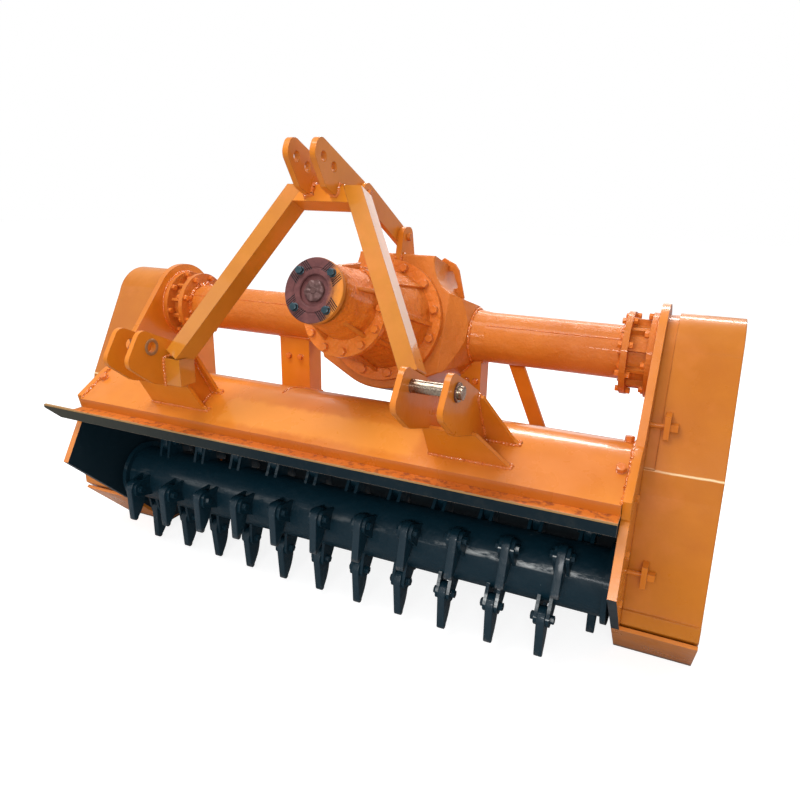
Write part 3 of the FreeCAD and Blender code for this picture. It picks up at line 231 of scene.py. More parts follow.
def gloss(bsdf, scale, low, high, detail=5, **fixed):
    """Uneven roughness between two limits; fixed gives coat, coat_rough and shine."""
    rough = ramp(noise(scale, detail, 0.6), [(0.3, low), (0.8, high)])
    link(rough, bsdf.inputs["Roughness"])
    sockets = {"coat": "Coat Weight", "coat_rough": "Coat Roughness", "shine": "Specular IOR Level"}
    set_values(bsdf, {sockets[key]: value for key, value in fixed.items()})
    return rough


print("helpers ready")

# %% [markdown]
# The camera stands in front of the machine's left half, a little above it, as a visitor
# would. It is placed by three angles and a point. A matrix is used instead of Euler angles,
# because its columns are simply "right", "up" and "backwards", which are easy to check.

# %% Camera
EYE = (0.9078, -1.5579, 1.1765)
YAW, PITCH, ROLL = (math.radians(angle) for angle in (23.69, 17.28, 1.46))
forward = Vector((-math.sin(YAW) * math.cos(PITCH), math.cos(YAW) * math.cos(PITCH), -math.sin(PITCH)))
level_right = Vector((math.cos(YAW), math.sin(YAW), 0))
level_up = level_right.cross(forward)
cam_right = math.cos(ROLL) * level_right + math.sin(ROLL) * level_up
cam_up = -math.sin(ROLL) * level_right + math.cos(ROLL) * level_up
bpy.ops.object.camera_add()
camera = bpy.context.object
camera.name = "camera"
columns = Matrix((cam_right, cam_up, -forward)).transposed()
camera.matrix_world = Matrix.Translation(EYE) @ columns.to_4x4()
camera.data.lens = 29.63
camera.data.sensor_width = 36
camera.data.shift_x = -0.0216
camera.data.shift_y = -0.001
bpy.context.scene.camera = camera
print("camera at", [round(v, 3) for v in camera.location])

# %% [markdown]
# Soft studio light: one large lamp high on the left front, weaker ones at the sides, and an
# even white surround. Large lamps give the long soft highlights that glossy paint needs, and
# the light from the left leaves the faces that look right a shade deeper. The long lamp
# behind draws the bright line along the hood's roll and the tubes.
# The floor is white to the camera and still takes the machine's shadow.

# %% Light and floor
bpy.context.scene.view_settings.view_transform = "Standard"


def area_lamp(name, place, target, size, power, height=None):
    """A soft lamp at a place, turned towards a target; square, or a long one of some height."""
    bpy.ops.object.light_add(type="AREA", location=place)
    lamp = bpy.context.object
    lamp.name = name
    lamp.data.size = size
    lamp.data.energy = power
    if height:
        lamp.data.shape = "RECTANGLE"
        lamp.data.size_y = height
    lamp.rotation_euler = (Vector(target) - Vector(place)).to_track_quat("-Z", "Y").to_euler()


area_lamp("key_lamp", (-0.6, -1.1, 3.6), (0, 0, 0.6), 1.6, 74)
area_lamp("left_lamp", (-3.0, -2.2, 1.8), (0, 0, 0.5), 2.0, 8)
area_lamp("right_lamp", (3.6, 2.4, 0.9), (0.3, 0, 0.8), 1.6, 22)
area_lamp("front_lamp", (1.0, -3.2, 1.80), (0.6, 0, 0.55), 1.9, 50, 0.24)
area_lamp("rim_lamp", (-0.15, 2.5, 2.9), (0.1, 0, 0.65), 3.2, 80, 0.42)
area_lamp("low_back_lamp", (0.0, 4.0, 1.35), (0, 0, 0.95), 1.8, 10)

world = bpy.data.worlds.new("studio")
bpy.context.scene.world = world
world.use_nodes = True
build_in(world.node_tree).nodes.clear()
rays = add("LightPath").outputs
seen = sums("MAXIMUM", rays["Is Camera Ray"], rays["Is Transmission Ray"])
either = add("MixShader")
link(seen, either.inputs["Fac"])
link(add("Background", {"Color": (0.94, 0.96, 1.0, 1), "Strength": 0.56}).outputs[0], either.inputs[1])
link(add("Background", {"Color": grey(1), "Strength": 1.0}).outputs[0], either.inputs[2])
link(either.outputs[0], add("OutputWorld").inputs["Surface"])

bpy.ops.mesh.primitive_plane_add(size=40)
floor = bpy.context.object
floor.name = "floor"
floor_mat, matt = shader("pale_floor")
set_values(matt, {"Base Color": grey(0.46), "Roughness": 0.95, "Specular IOR Level": 0.1})
glow = add("Emission", {"Color": grey(1)})
link(times(add("LightPath").outputs["Is Camera Ray"], 0.82), glow.inputs["Strength"])
lit = add("AddShader")
link(matt.outputs[0], lit.inputs[0])
link(glow.outputs[0], lit.inputs[1])
link(lit.outputs[0], tree.nodes["Material Output"].inputs["Surface"])
floor.data.materials.append(floor_mat)
print("lamps and floor in place")

# %% [markdown]
# The glossy orange paint covers nearly everything. It was sprayed thick over rough plate,
# so the colour drifts a little from place to place, the surface is wavy like orange peel,
# dust lies on what faces up, and edges show a hint of primer. One function makes the variants
# for plate, castings, bolts and welds, which differ in what is under the paint and how thick
# it lies. The legs' variant is also darker, as painted shade, and the carrier's lighter, as
# painted light.

# %% Orange paint
ORANGE = (0.68, 0.202, 0.011)
ORANGE_DEEP = (0.54, 0.135, 0.008)
ORANGE_ROSE = (0.72, 0.225, 0.05)
PRIMER = (0.26, 0.075, 0.03)
DUST = (0.62, 0.33, 0.15)
DARK = (0.0030, 0.021, 0.034)
SCUFFED = (0.014, 0.032, 0.044)


def orange_colour(tint=(1, 1, 1)):
    """The paint's colour: slow drift, small mottle, rosy thin places and dust."""
    light = tuple(a * b for a, b in zip(ORANGE, tint))
    deep = tuple(a * b for a, b in zip(ORANGE_DEEP, tint))
    colour = ramp(noise(2.3, 3, 0.5), [(0.28, deep), (0.5, light), (0.8, light)])
    mottle = ramp(noise(21, 5, 0.6), [(0.35, 0.0), (0.75, 0.3)])
    colour = mixed(mottle, colour, deep)
    thin = ramp(noise(5.5, 4, 0.6), [(0.5, 0.0), (0.78, 0.55)])
    colour = mixed(thin, colour, ORANGE_ROSE)
    up = ramp(facing()[2], [(0.35, 0.0), (0.95, 1.0)])
    dust = times(up, noise(9, 5, 0.65))
    return mixed(times(dust, 0.13), colour, DUST)


def orange_paint(name, wavy, pits, tint=(1, 1, 1), coat=0.16, rough=(0.28, 0.5), pit_scale=95,
                 rounding=0.0018, lumps=14, lump_depth=0.004):
    """Orange paint: wavy sets the orange peel, pits the roughness of what is under it."""
    mat, bsdf = shader(name)
    worn = times(edge_wear(0.004, 0.16), 0.85)
    link(mixed(worn, orange_colour(tint), PRIMER), bsdf.inputs["Base Color"])
    gloss(bsdf, 7, *rough, coat=coat, coat_rough=0.06, shine=0.22)
    sag = noise(lumps, 4, 0.55)
    peel = noise(260, 2, 0.5)
    grit = noise(pit_scale, 6, 0.7)
    bumps(bsdf, [(sag, lump_depth, wavy), (peel, 0.0006, 0.2), (grit, 0.0022, pits)], rounding)
    return mat


paint_plate = orange_paint("orange_paint_on_plate", 0.35, 0.07, rough=(0.24, 0.46))
paint_mast = orange_paint("orange_paint_on_mast", 0.3, 0.05, (0.98, 1.05, 1.1), 0.35, (0.26, 0.44))
# painted shade: a darker, yellower copy of the orange paint, for mast legs that face the key lamp
paint_leg_shaded = orange_paint("orange_paint_on_legs", 0.3, 0.05, (0.78, 0.92, 1.3), 0.8, (0.26, 0.44))
paint_cover = orange_paint("orange_paint_on_cover", 0.25, 0.04, (0.82, 0.86, 0.88), 0.3, (0.26, 0.42),
                           rounding=0.005)
paint_cast = orange_paint("orange_paint_on_casting", 0.8, 0.9, (0.90, 0.84, 1.5), 0.16, (0.3, 0.5),
                          pit_scale=150, lumps=24, lump_depth=0.008)
# painted light: a lighter copy of the casting paint lifts the carrier and the bearing cage out of the mast leg's
# shade; its deeper lumps are the casting's own
paint_carrier_lightened = orange_paint("orange_paint_on_carrier", 1.0, 1.0, (1.12, 0.98, 1.5), 0.2,
                             pit_scale=150, lumps=30, lump_depth=0.013)
paint_weld = orange_paint("orange_paint_on_weld", 0.4, 0.5, (1.02, 0.84, 1.6), 0.8, (0.15, 0.35))
paint_bolt = orange_paint("orange_paint_on_bolts", 0.5, 0.5, (1.08, 0.94, 1.5), 0.35)
print("orange paints:", [mat.name for mat in bpy.data.materials if mat.name.startswith("orange")])

# %% [markdown]
# Each drive cover is folded from sheet, and its front has a level fold. A pale line along it
# is a painted highlight, laid into the finished cover paint by its height and by where the face
# looks, so the mesh needs no cut there. It fades towards the side plate.

# %% Painted highlight along the drive covers' fold
cover_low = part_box("drive_cover_right")[0]
FOLD_LINE_Z = cover_low.z + 0.550
FOLD_LINE_HALF = 0.0035


def fold_highlight(mat):
    """A painted highlight: a pale, slightly wandering line across the front faces."""
    base = build_in(mat.node_tree).nodes["Principled BSDF"].inputs["Base Color"]
    x, _, z = axes()
    height = plus(z, wobble(0.006, 14, 4, 0.6))
    line = band(height, FOLD_LINE_Z - FOLD_LINE_HALF, FOLD_LINE_Z + FOLD_LINE_HALF, 0.003)
    outward = ramp(sums("ABSOLUTE", x, 0), [(cover_low.x, 0.2), (cover_low.x + 0.08, 0.85)])
    ahead = sums("LESS_THAN", facing()[1], -0.3)
    # painted highlight: the fold's line is paler where its faces look forward
    highlighted = mixed(times(line, outward, ahead), base.links[0].from_socket, (1.0, 0.76, 0.42))
    link(highlighted, base)


fold_highlight(paint_cover)
print("fold line at", round(FOLD_LINE_Z, 3))

# %% [markdown]
# Inside the hood and on the rotor the finish is a thin blue-black paint that hides little:
# a few glints, brown dust and rubbed spots show through. It is very dark, so the recipe keeps
# its shine low and lets only a few marks be lighter: scuffs, specks that are both nicks and
# painted glints, a painted highlight along the drum's front, and a painted reflection on the
# front strip's left end.

# %% Dark paints


def dark_colour(base, scuffed, amount):
    """Near-black with lighter scuffs where things rub, and pale specks that are both nicks and painted glints."""
    scuff = ramp(noise(26, 7, 0.65), [(0.52, 0.0), (0.78, amount)])
    colour = mixed(scuff, base, scuffed)
    # pale specks: nicks in the paint, and painted glints
    nicks_and_glints = ramp(noise(52, 8, 0.75), [(0.66, 0.0), (0.71, 0.85)])
    return mixed(nicks_and_glints, colour, (0.10, 0.14, 0.15))


def dark_bumps(bsdf, layers):
    """Rough metal under thin paint: layers of (scale, detail, roughness, depth, strength)."""
    bumps(bsdf, [(noise(*kind), depth, strength) for *kind, depth, strength in layers], 0.0012)


def rotor_paint():
    """Blue-black satin paint, with a painted highlight: pale streaks along the front of the drum's right half, on
    faces that look forward and up.
    """
    mat, bsdf = shader("dark_rotor_paint")
    colour = mixed(edge_wear(0.003, 0.24), dark_colour(DARK, SCUFFED, 0.5), (0.016, 0.036, 0.046))
    ahead = sums("LESS_THAN", facing()[1], -0.3)
    highlight_streak = ramp(noise(26, 7, 0.7, stretch=(0.22, 1, 1)), [(0.47, 0.0), (0.60, 1.0)])
    right = ramp(axes()[0], [(0.25, 0.10), (0.60, 1.0)])
    # painted highlight: pale streaks on the forward and upward faces of the drum's right half
    drum_highlight = times(band(facing()[2], 0.36, 0.60, 0.08), ahead, highlight_streak, right)
    link(mixed(drum_highlight, colour, (0.78, 0.80, 0.78)), bsdf.inputs["Base Color"])
    gloss(bsdf, 12, 0.36, 0.61, shine=0.2, coat=0.12, coat_rough=0.14)
    dark_bumps(bsdf, [(30, 4, 0.6, 0.006, 0.6), (160, 5, 0.7, 0.001, 0.45)])
    return mat


def strip_paint():
    """The front strip: orange overspray on its ledge, dull green-black on its front, paler towards its left end as
    a painted reflection.
    """
    mat, bsdf = shader("front_strip_paint")
    x, y, z = axes()
    up = ramp(facing()[2], [(0.4, 0.0), (0.6, 1.0)])
    along = plus(times(x, 0.5), 0.45, clamp=True)
    # painted reflection: the front runs from olive-grey at the left end to blue-black towards the right
    front = ramp(along, [(0.0, (0.050, 0.048, 0.036)), (0.42, (0.0035, 0.012, 0.018))])
    scuffs = ramp(noise(40, 6, 0.7), [(0.5, 0.0), (0.8, 0.22)])
    front = mixed(scuffs, front, (0.06, 0.058, 0.045))
    rim = times(sums("GREATER_THAN", z, lip_high.z - 0.0045), 0.8)
    front = mixed(rim, front, (0.46, 0.25, 0.09))
    spatter = ramp(noise(55, 6, 0.7), [(0.5, 0.0), (0.62, 0.75)])
    ledge = mixed(spatter, orange_colour((0.95, 0.8, 1.2)), (0.20, 0.045, 0.022))
    inside = ramp(minus(x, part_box("side_plate_left")[0].x), [(0.0, 0.0), (0.04, 1.0)])
    depth = times(minus(y, lip_low.y), 24.0)
    fringe = ramp(plus(depth, noise(30, 5, 0.7)), [(0.35, 0.0), (0.6, 1.0)])
    colour = mixed(times(up, inside, fringe), front, ledge)
    worn = times(edge_wear(0.003, 0.1), 0.7)
    link(mixed(worn, colour, (0.42, 0.33, 0.24)), bsdf.inputs["Base Color"])
    gloss(bsdf, 12, 0.5, 0.75, shine=0.14)
    dark_bumps(bsdf, [(18, 4, 0.6, 0.004, 0.4), (160, 5, 0.7, 0.001, 0.3)])
    return mat


lip_low, lip_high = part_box("hood_lip")
dark_rotor = rotor_paint()
dark_strip = strip_paint()
print("dark paints:", dark_rotor.name, dark_strip.name)

# %% [markdown]
# The hood and the side plates are orange outside and dark inside, but each is one solid with
# one slot. The paint is told apart by where a face looks: away from the rotor's axis it is
# outside, towards it inside. A dot product of the surface direction with the line from that
# axis gives this without splitting the mesh. A side plate's inside is dark only under the hood,
# so its mask also asks whether the point lies under the hood's two slopes. Its faces that look
# down, such as the chamfered edge, get the dark paint too, as painted shade.

# %% Two-sided paint
hood_low, hood_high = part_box("hood_shell")
plate_low, plate_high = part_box("side_plate_right")
ROTOR_Y, ROTOR_Z = box_middle("rotor_disc_left")[1:]
FRONT_SLOPE = math.tan(math.radians(30))
REAR_SLOPE = math.tan(math.radians(22))
ROLL_Y = hood_low.y + 0.176968
ROLL_RADIUS = 0.1685
FOLD_Z = lip_high.z + 0.024
REAR_SLOPE_Z = hood_high.z + 0.012


def looks_in(middle, squash):
    """1 on faces that look towards a point, 0 on those that look away from it."""
    offset = add("VectorMath", operation="SUBTRACT")
    link(add("TexCoord").outputs["Object"], offset.inputs[0])
    offset.inputs[1].default_value = middle
    flat = add("VectorMath", operation="MULTIPLY")
    link(offset.outputs[0], flat.inputs[0])
    flat.inputs[1].default_value = squash
    product = add("VectorMath", operation="DOT_PRODUCT")
    link(flat.outputs[0], product.inputs[0])
    link(add("NewGeometry").outputs["Normal"], product.inputs[1])
    return sums("LESS_THAN", product.outputs["Value"], -0.004)


def under_hood():
    """1 for points under the hood's front slope, its roll and its rear slope."""
    _, y, z = axes()
    front = plus(times(minus(y, hood_low.y), FRONT_SLOPE), FOLD_Z)
    rear = minus(REAR_SLOPE_Z, times(minus(y, ROLL_Y), REAR_SLOPE))
    roof = sums("MINIMUM", sums("MINIMUM", front, rear), hood_high.z)
    return sums("GREATER_THAN", minus(roof, z), 0.0)


def two_sided(name, mask, extra=None):
    """Orange outside and dark inside; mask gives the inside, extra changes the orange."""
    mat, bsdf = shader(name)
    inside = mask()
    outside = orange_colour()
    if extra:
        outside = extra(outside)
    dark = dark_colour((0.0022, 0.013, 0.021), (0.008, 0.020, 0.028), 0.5)
    colour = mixed(inside, outside, dark)
    worn = times(edge_wear(0.004, 0.16), minus(0.8, times(inside, 0.7)))
    link(mixed(worn, colour, PRIMER), bsdf.inputs["Base Color"])
    rough = gloss(bsdf, 7, 0.22, 0.4, coat_rough=0.07, shine=0.35)
    link(plus(rough, times(inside, 0.25)), bsdf.inputs["Roughness"])
    link(times(minus(1.0, inside), 0.4), bsdf.inputs["Coat Weight"])
    bumps(bsdf, [(noise(9, 3, 0.5), 0.006, 0.4), (noise(260, 2, 0.5), 0.0006, 0.2)], rounding=0.0018)
    return mat


def notice_field_and_shade(colour):
    """A lighter, bare rectangle sprayed again on the front slope, and painted shade deepening the upright band
    under the fold.
    """
    x, y, _ = axes()
    fuzz = wobble(0.03, 24, 4, 0.6)
    across = band(plus(x, fuzz), hood_low.x + 0.500, hood_high.x - 0.490, 0.02)
    down = band(plus(y, fuzz), hood_low.y + 0.010, hood_low.y + 0.100, 0.015)
    colour = mixed(times(across, down, 0.6), colour, (0.80, 0.30, 0.045))
    # painted shade: faces that look straight forward, the band under the fold, are darker
    upright_shade = times(sums("LESS_THAN", facing()[1], -0.85), 0.6)
    return mixed(upright_shade, colour, (0.40, 0.088, 0.008))


def hood_inside():
    """The hood's inner faces, seen from the rotor's axis."""
    return looks_in((0, ROTOR_Y, ROTOR_Z), (0, 1, 1))


def plate_inside_and_shade():
    """A side plate's inner face under the hood, and painted shade on faces that look down, such as its chamfered
    edge.
    """
    inner = times(looks_in((0, 0, 0.3), (1, 0, 0)), under_hood())
    # faces that look down get the dark inside paint as painted shade
    return sums("MAXIMUM", inner, sums("LESS_THAN", facing()[2], -0.3))


hood_paint = two_sided("hood_paint", hood_inside, notice_field_and_shade)
plate_paint = two_sided("side_plate_paint", plate_inside_and_shade)


def shoe_paint():
    """Skid shoe: orange on its sides, the sole worn down to scratched steel."""
    mat, bsdf = shader("skid_shoe_paint")
    sole = ramp(times(facing()[2], -1.0), [(0.8, 0.0), (0.95, 1.0)])
    ragged = plus(axes()[2], times(noise(40, 6, 0.7), 0.02))
    bare = sums("MAXIMUM", sole, ramp(ragged, [(0.012, 0.8), (0.03, 0.0)]))
    steel_colour = ramp(noise(60, 6, 0.7, stretch=(4, 0.6, 1)),
                        [(0.35, (0.10, 0.06, 0.04)), (0.7, (0.30, 0.28, 0.26))])
    link(mixed(bare, orange_colour(), steel_colour), bsdf.inputs["Base Color"])
    link(times(bare, 0.85), bsdf.inputs["Metallic"])
    gloss(bsdf, 7, 0.24, 0.46)
    bumps(bsdf, [(noise(30, 4, 0.6), 0.004, 0.4)], rounding=0.0018)
    return mat


shoe = shoe_paint()
print("two-sided paints:", hood_paint.name, plate_paint.name, "and", shoe.name)

# %% [markdown]
# Bare steel shows on the hitch pin, the bolts and the drive flange. Turned steel is bright
# with fine rings and brown film; the bolts on the drive flange are dark teal; the flange
# itself kept its brown primer, with orange overspray on one side and scored lines by each bolt.

# %% Bare steels


def steel(name, bright, brown, rough_low, rough_high, metal=1.0):
    """Bare steel with a patchy brown film."""
    mat, bsdf = shader(name)
    film = ramp(noise(60, 6, 0.65), [(0.38, 0.0), (0.72, 1.0)])
    link(mixed(film, bright, brown), bsdf.inputs["Base Color"])
    gloss(bsdf, 90, rough_low, rough_high, 4)
    bsdf.inputs["Metallic"].default_value = metal
    bumps(bsdf, [(noise(420, 3, 0.6, stretch=(6, 1, 1)), 0.0005, 0.35)], rounding=0.0008)
    return mat


pin_steel = steel("pin_steel", (0.42, 0.34, 0.26), (0.16, 0.085, 0.042), 0.18, 0.36)
bolt_teal = steel("bolt_teal", (0.022, 0.055, 0.070), (0.012, 0.03, 0.04), 0.25, 0.45, metal=0.3)
bush_brown = steel("bush_brown", (0.30, 0.17, 0.08), (0.34, 0.11, 0.02), 0.3, 0.5, metal=0.3)
nut_brown = steel("nut_brown", (0.12, 0.055, 0.05), (0.07, 0.03, 0.025), 0.35, 0.6, metal=0.3)
print("steels:", [m.name for m in (pin_steel, bolt_teal, bush_brown, nut_brown)])

# %% [markdown]
# Each node of the model now gets its paint by name, left and right alike. The model's meshes
# stay as they are; only the one material in each node's slot is exchanged, and whatever isn't
# listed gets the plate's paint, as a sprayer would go over the whole machine.

# %% Put the materials on the model's own nodes
PAINTS = (
    (paint_cast, ("axle_housing", "banjo_rear_cover", "bearing_hub", "hub_mount_flange", "axle_end_flange",
                  "stay_bolts")),
    (paint_carrier_lightened, ("differential_carrier", "pinion_cage")),
    (paint_mast, ("mast_cross_member", "top_link_ears", "mast_stay")),
    (paint_leg_shaded, ("mast_leg",)),
    (paint_cover, ("drive_cover",)),
    (dark_rotor, ("rotor_drum", "flails", "rotor_disc", "rotor_bearing", "differential")),
    (dark_strip, ("hood_lip",)),
    (hood_paint, ("hood_shell",)),
    (plate_paint, ("side_plate",)),
    (pin_steel, ("link_pin",)),
    (shoe, ("skid_shoe",)),
)
paint_of = {part: mat for mat, parts in PAINTS for part in parts}
for name, node in nodes.items():
    part = name.removesuffix("_left").removesuffix("_right")
    node.data.materials.clear()
    node.data.materials.append(paint_of.get(part, paint_plate))
print("materials:", len(bpy.data.materials))

# %% [markdown]
# New pieces are modelled with the same few moves: select one object, shape it, bake its
# place into its mesh, join what belongs together. These helpers hold those moves. Every
# finished piece keeps its origin at the machine's origin, so it is easy to reuse.

# %% Modelling helpers
AXLE_Y, AXLE_Z = box_middle("axle_end_flange_left")[1:]
DRIVE_X = box_middle("pinion_cage")[0]
NOSE_UP = math.radians(19)
DRIVE = Vector((0, -math.cos(NOSE_UP), math.sin(NOSE_UP)))
DRIVE_UP = Vector((0, math.sin(NOSE_UP), math.cos(NOSE_UP)))
TO_DRIVE = DRIVE.to_track_quat("Z", "Y").to_matrix().to_4x4()
IN_YZ = Matrix(((0, 0, 1, 0), (1, 0, 0, 0), (0, 1, 0, 0), (0, 0, 0, 1)))
IN_XZ = Matrix(((1, 0, 0, 0), (0, 0, -1, 0), (0, 1, 0, 0), (0, 0, 0, 1)))
MERGE = 0.00002
random.seed(7)


def only(*objects):
    """Select just these; the first one is active."""
    bpy.ops.object.select_all(action="DESELECT")
    for obj in objects:
        obj.select_set(True)
    bpy.context.view_layer.objects.active = objects[0]


def bake(obj, matrix=None):
    """Put the object's place, turn and size, or a matrix, into its mesh."""
    if matrix:
        obj.matrix_world = matrix
    only(obj)
    bpy.ops.object.transform_apply(location=True, rotation=True, scale=True)
    return obj


def copied(template, matrix):
    """A copy of a template with its own mesh, put where a matrix says."""
    made = template.copy()
    made.data = template.data.copy()
    bpy.context.collection.objects.link(made)
    return bake(made, matrix)


def cleaned(obj, merge=0.0):
    """Merge double points where asked, and turn every face outwards."""
    only(obj)
    bpy.ops.object.mode_set(mode="EDIT")
    bpy.ops.mesh.select_all(action="SELECT")
    if merge:
        bpy.ops.mesh.remove_doubles(threshold=merge)
    bpy.ops.mesh.normals_make_consistent(inside=False)
    bpy.ops.object.mode_set(mode="OBJECT")
    return obj


def meshed(name, curve, merge=0.0):
    """A curve turned into a clean mesh object."""
    made = bpy.data.objects.new(name, curve)
    bpy.context.collection.objects.link(made)
    only(made)
    bpy.ops.object.convert(target="MESH")
    return cleaned(bpy.context.object, merge)


def joined(objects, name):
    """Join objects into one, under a name."""
    only(*objects)
    if len(objects) > 1:
        bpy.ops.object.join()
    bpy.context.object.name = name
    return bpy.context.object


def finish(obj, name, mat, body="frame", smooth=40):
    """Name, paint and body of a finished piece; flat faces stay flat."""
    obj.name = name
    obj.data.name = name
    obj.data.materials.clear()
    obj.data.materials.append(mat)
    only(obj)
    bpy.ops.object.shade_smooth_by_angle(angle=math.radians(smooth))
    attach(obj, body)
    return obj


def lathe(profile, steps=64):
    """A turned piece: (radius, height) pairs spun round Z from axis to axis."""
    bpy.ops.mesh.primitive_plane_add(size=0.01)
    turned = bpy.context.object
    bpy.ops.object.mode_set(mode="EDIT")
    bpy.ops.mesh.delete(type="VERT")
    mesh = bmesh.from_edit_mesh(turned.data)
    points = [mesh.verts.new((radius, 0, height)) for radius, height in profile]
    for first, second in zip(points, points[1:]):
        mesh.edges.new((first, second))
    bmesh.update_edit_mesh(turned.data)
    bpy.ops.mesh.select_all(action="SELECT")
    bpy.ops.mesh.spin(steps=steps, angle=2 * math.pi, center=(0, 0, 0), axis=(0, 0, 1))
    bpy.ops.object.mode_set(mode="OBJECT")
    return cleaned(turned, MERGE)


def hex_bolt(across, head, washer):
    """A hexagon head with a chamfered crown on a washer; its foot at the origin, up along Z."""
    bpy.ops.mesh.primitive_cylinder_add(vertices=6, radius=across / math.sqrt(3), depth=head,
                                        location=(0, 0, washer + head / 2))
    hexagon = bpy.context.object
    bpy.ops.object.mode_set(mode="EDIT")
    bpy.ops.mesh.select_mode(type="FACE")
    bpy.ops.mesh.select_all(action="DESELECT")
    mesh = bmesh.from_edit_mesh(hexagon.data)
    for face in mesh.faces:
        face.select = face.normal.z > 0.9
    bmesh.update_edit_mesh(hexagon.data)
    bpy.ops.mesh.inset(thickness=across * 0.09)
    bpy.ops.transform.translate(value=(0, 0, across * 0.05))
    bpy.ops.mesh.inset(thickness=across * 0.16)
    bpy.ops.transform.translate(value=(0, 0, -across * 0.02))
    bpy.ops.object.mode_set(mode="OBJECT")
    bake(hexagon)
    ring = across * 0.62
    disc = lathe([(0, 0), (ring, 0), (ring, washer * 0.7), (ring - washer * 0.4, washer), (0, washer)], 20)
    return joined([hexagon, disc], "bolt_template")


def stand(template, place, along, turn=0.0):
    """A copy of a template stood at a place, its Z along a direction."""
    aim = Vector(along).to_track_quat("Z", "Y").to_matrix().to_4x4()
    return copied(template, Matrix.Translation(place) @ aim @ Matrix.Rotation(turn, 4, "Z"))


def circle(centre, along, radius, count, phase=0.0, first=None):
    """Points evenly spaced round a centre, in the plane across a direction."""
    along = Vector(along).normalized()
    start = Vector(first) if first else along.orthogonal().normalized()
    other = along.cross(start)
    turns = [phase + 2 * math.pi * i / count for i in range(count)]
    return [Vector(centre) + radius * (math.cos(t) * start + math.sin(t) * other) for t in turns]


def drive_point(distance):
    """A point on the drive's axis, so far ahead of the axle."""
    return Vector((DRIVE_X, AXLE_Y, AXLE_Z)) + DRIVE * distance


def surface(name, start, along):
    """Where a ray from a point meets a node."""
    node = nodes[name]
    inverse = node.matrix_world.inverted()
    hit, place, normal, index = node.ray_cast(inverse @ Vector(start), inverse.to_3x3() @ Vector(along))
    return node.matrix_world @ place if hit else None


def from_above(name, x, y):
    """The highest point of a node over a place."""
    return surface(name, (x, y, 1.2), (0, 0, -1))


print("axle axis y, z:", round(AXLE_Y, 4), round(AXLE_Z, 4), "drive x:", round(DRIVE_X, 4))

# %% [markdown]
# The flange that takes the tractor's shaft is a turned disc: a raised ring, a groove, a deep
# recess with the pinion's nut, and a hub behind. On the real one it is lathe work, so here
# one profile is spun round its axis. It replaces the model's plain flange and keeps its sizes.

# %% Drive flange
FLANGE_FACE = round(max((nodes["input_flange"].matrix_world @ vert.co - drive_point(0)).dot(DRIVE)
                        for vert in nodes["input_flange"].data.vertices), 5)
FLANGE_RADIUS = 0.079
DISC_DEPTH = 0.014
RECESS = 0.0078
FLANGE_BOLT_CIRCLE = 0.062
BOLT_TURNS = (math.radians(45), math.radians(135))
flange_profile = [(0, -0.090), (0.0218, -0.090), (0.0218, -0.030), (0.0455, -0.030), (0.046, -0.0295),
                  (0.046, -0.0165), (0.049, -DISC_DEPTH), (0.0775, -DISC_DEPTH), (FLANGE_RADIUS, -0.0125),
                  (FLANGE_RADIUS, -0.0015), (0.0775, 0), (0.0562, 0), (0.0553, -0.0012), (0.0530, -0.0012),
                  (0.0521, 0), (0.0402, 0),
                  (0.038, -0.0020), (0.038, -RECESS), (0.0290, -RECESS), (0.0282, -0.0070), (0.0262, -0.0070),
                  (0.0254, -RECESS), (0, -RECESS)]
flange = bake(lathe(flange_profile, 96), Matrix.Translation(drive_point(FLANGE_FACE)) @ TO_DRIVE)


def flange_paint():
    """Brown primer with grooves scored by each bolt, and orange overspray on the right."""
    mat, bsdf = shader("flange_paint")
    x, y, z = axes()
    face = drive_point(FLANGE_FACE)
    side = minus(x, DRIVE_X)
    rise = plus(times(minus(y, face.y), DRIVE_UP.y), times(minus(z, face.z), DRIVE_UP.z))
    radius = sums("SQRT", plus(times(side, side), times(rise, rise)), 0)
    brown = ramp(noise(45, 6, 0.65), [(0.35, (0.088, 0.029, 0.029)), (0.7, (0.165, 0.056, 0.052))])
    slant = plus(plus(side, wobble(0.06, 34, 5, 0.7)), times(radius, 0.25))
    rim = times(minus(radius, FLANGE_RADIUS - 0.0014), 500.0)
    right = ramp(plus(side, 0.01), [(0.0, 0.0), (0.04, 1.0)])
    spray = sums("MAXIMUM", ramp(slant, [(0.050, 0.0), (0.084, 1.0)]),
                 times(ramp(rim, [(0.0, 0.0), (0.6, 1.0)]), right))
    colour = mixed(spray, brown, orange_colour((0.95, 1.1, 2.2)))
    offs = [minus(times(rise, math.cos(turn)), times(side, math.sin(turn))) for turn in BOLT_TURNS]
    nearest = sums("MINIMUM", *(sums("ABSOLUTE", off, 0) for off in offs))
    waves = sums("SINE", times(nearest, 1300.0), 0)
    score = times(band(nearest, 0.0105, 0.0290, 0.0006), sums("GREATER_THAN", waves, -0.15),
                  band(radius, 0.050, FLANGE_RADIUS - 0.0005, 0.001))
    link(mixed(score, colour, (0.010, 0.006, 0.007)), bsdf.inputs["Base Color"])
    gloss(bsdf, 60, 0.34, 0.58, 4, shine=0.25)
    bumps(bsdf, [(minus(1.0, score), 0.0004, 0.3), (noise(160, 5, 0.7), 0.0008, 0.4)], rounding=0.0008)
    return mat


finish(flange, "drive_flange_detail", flange_paint(), "input")
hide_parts("input_flange")

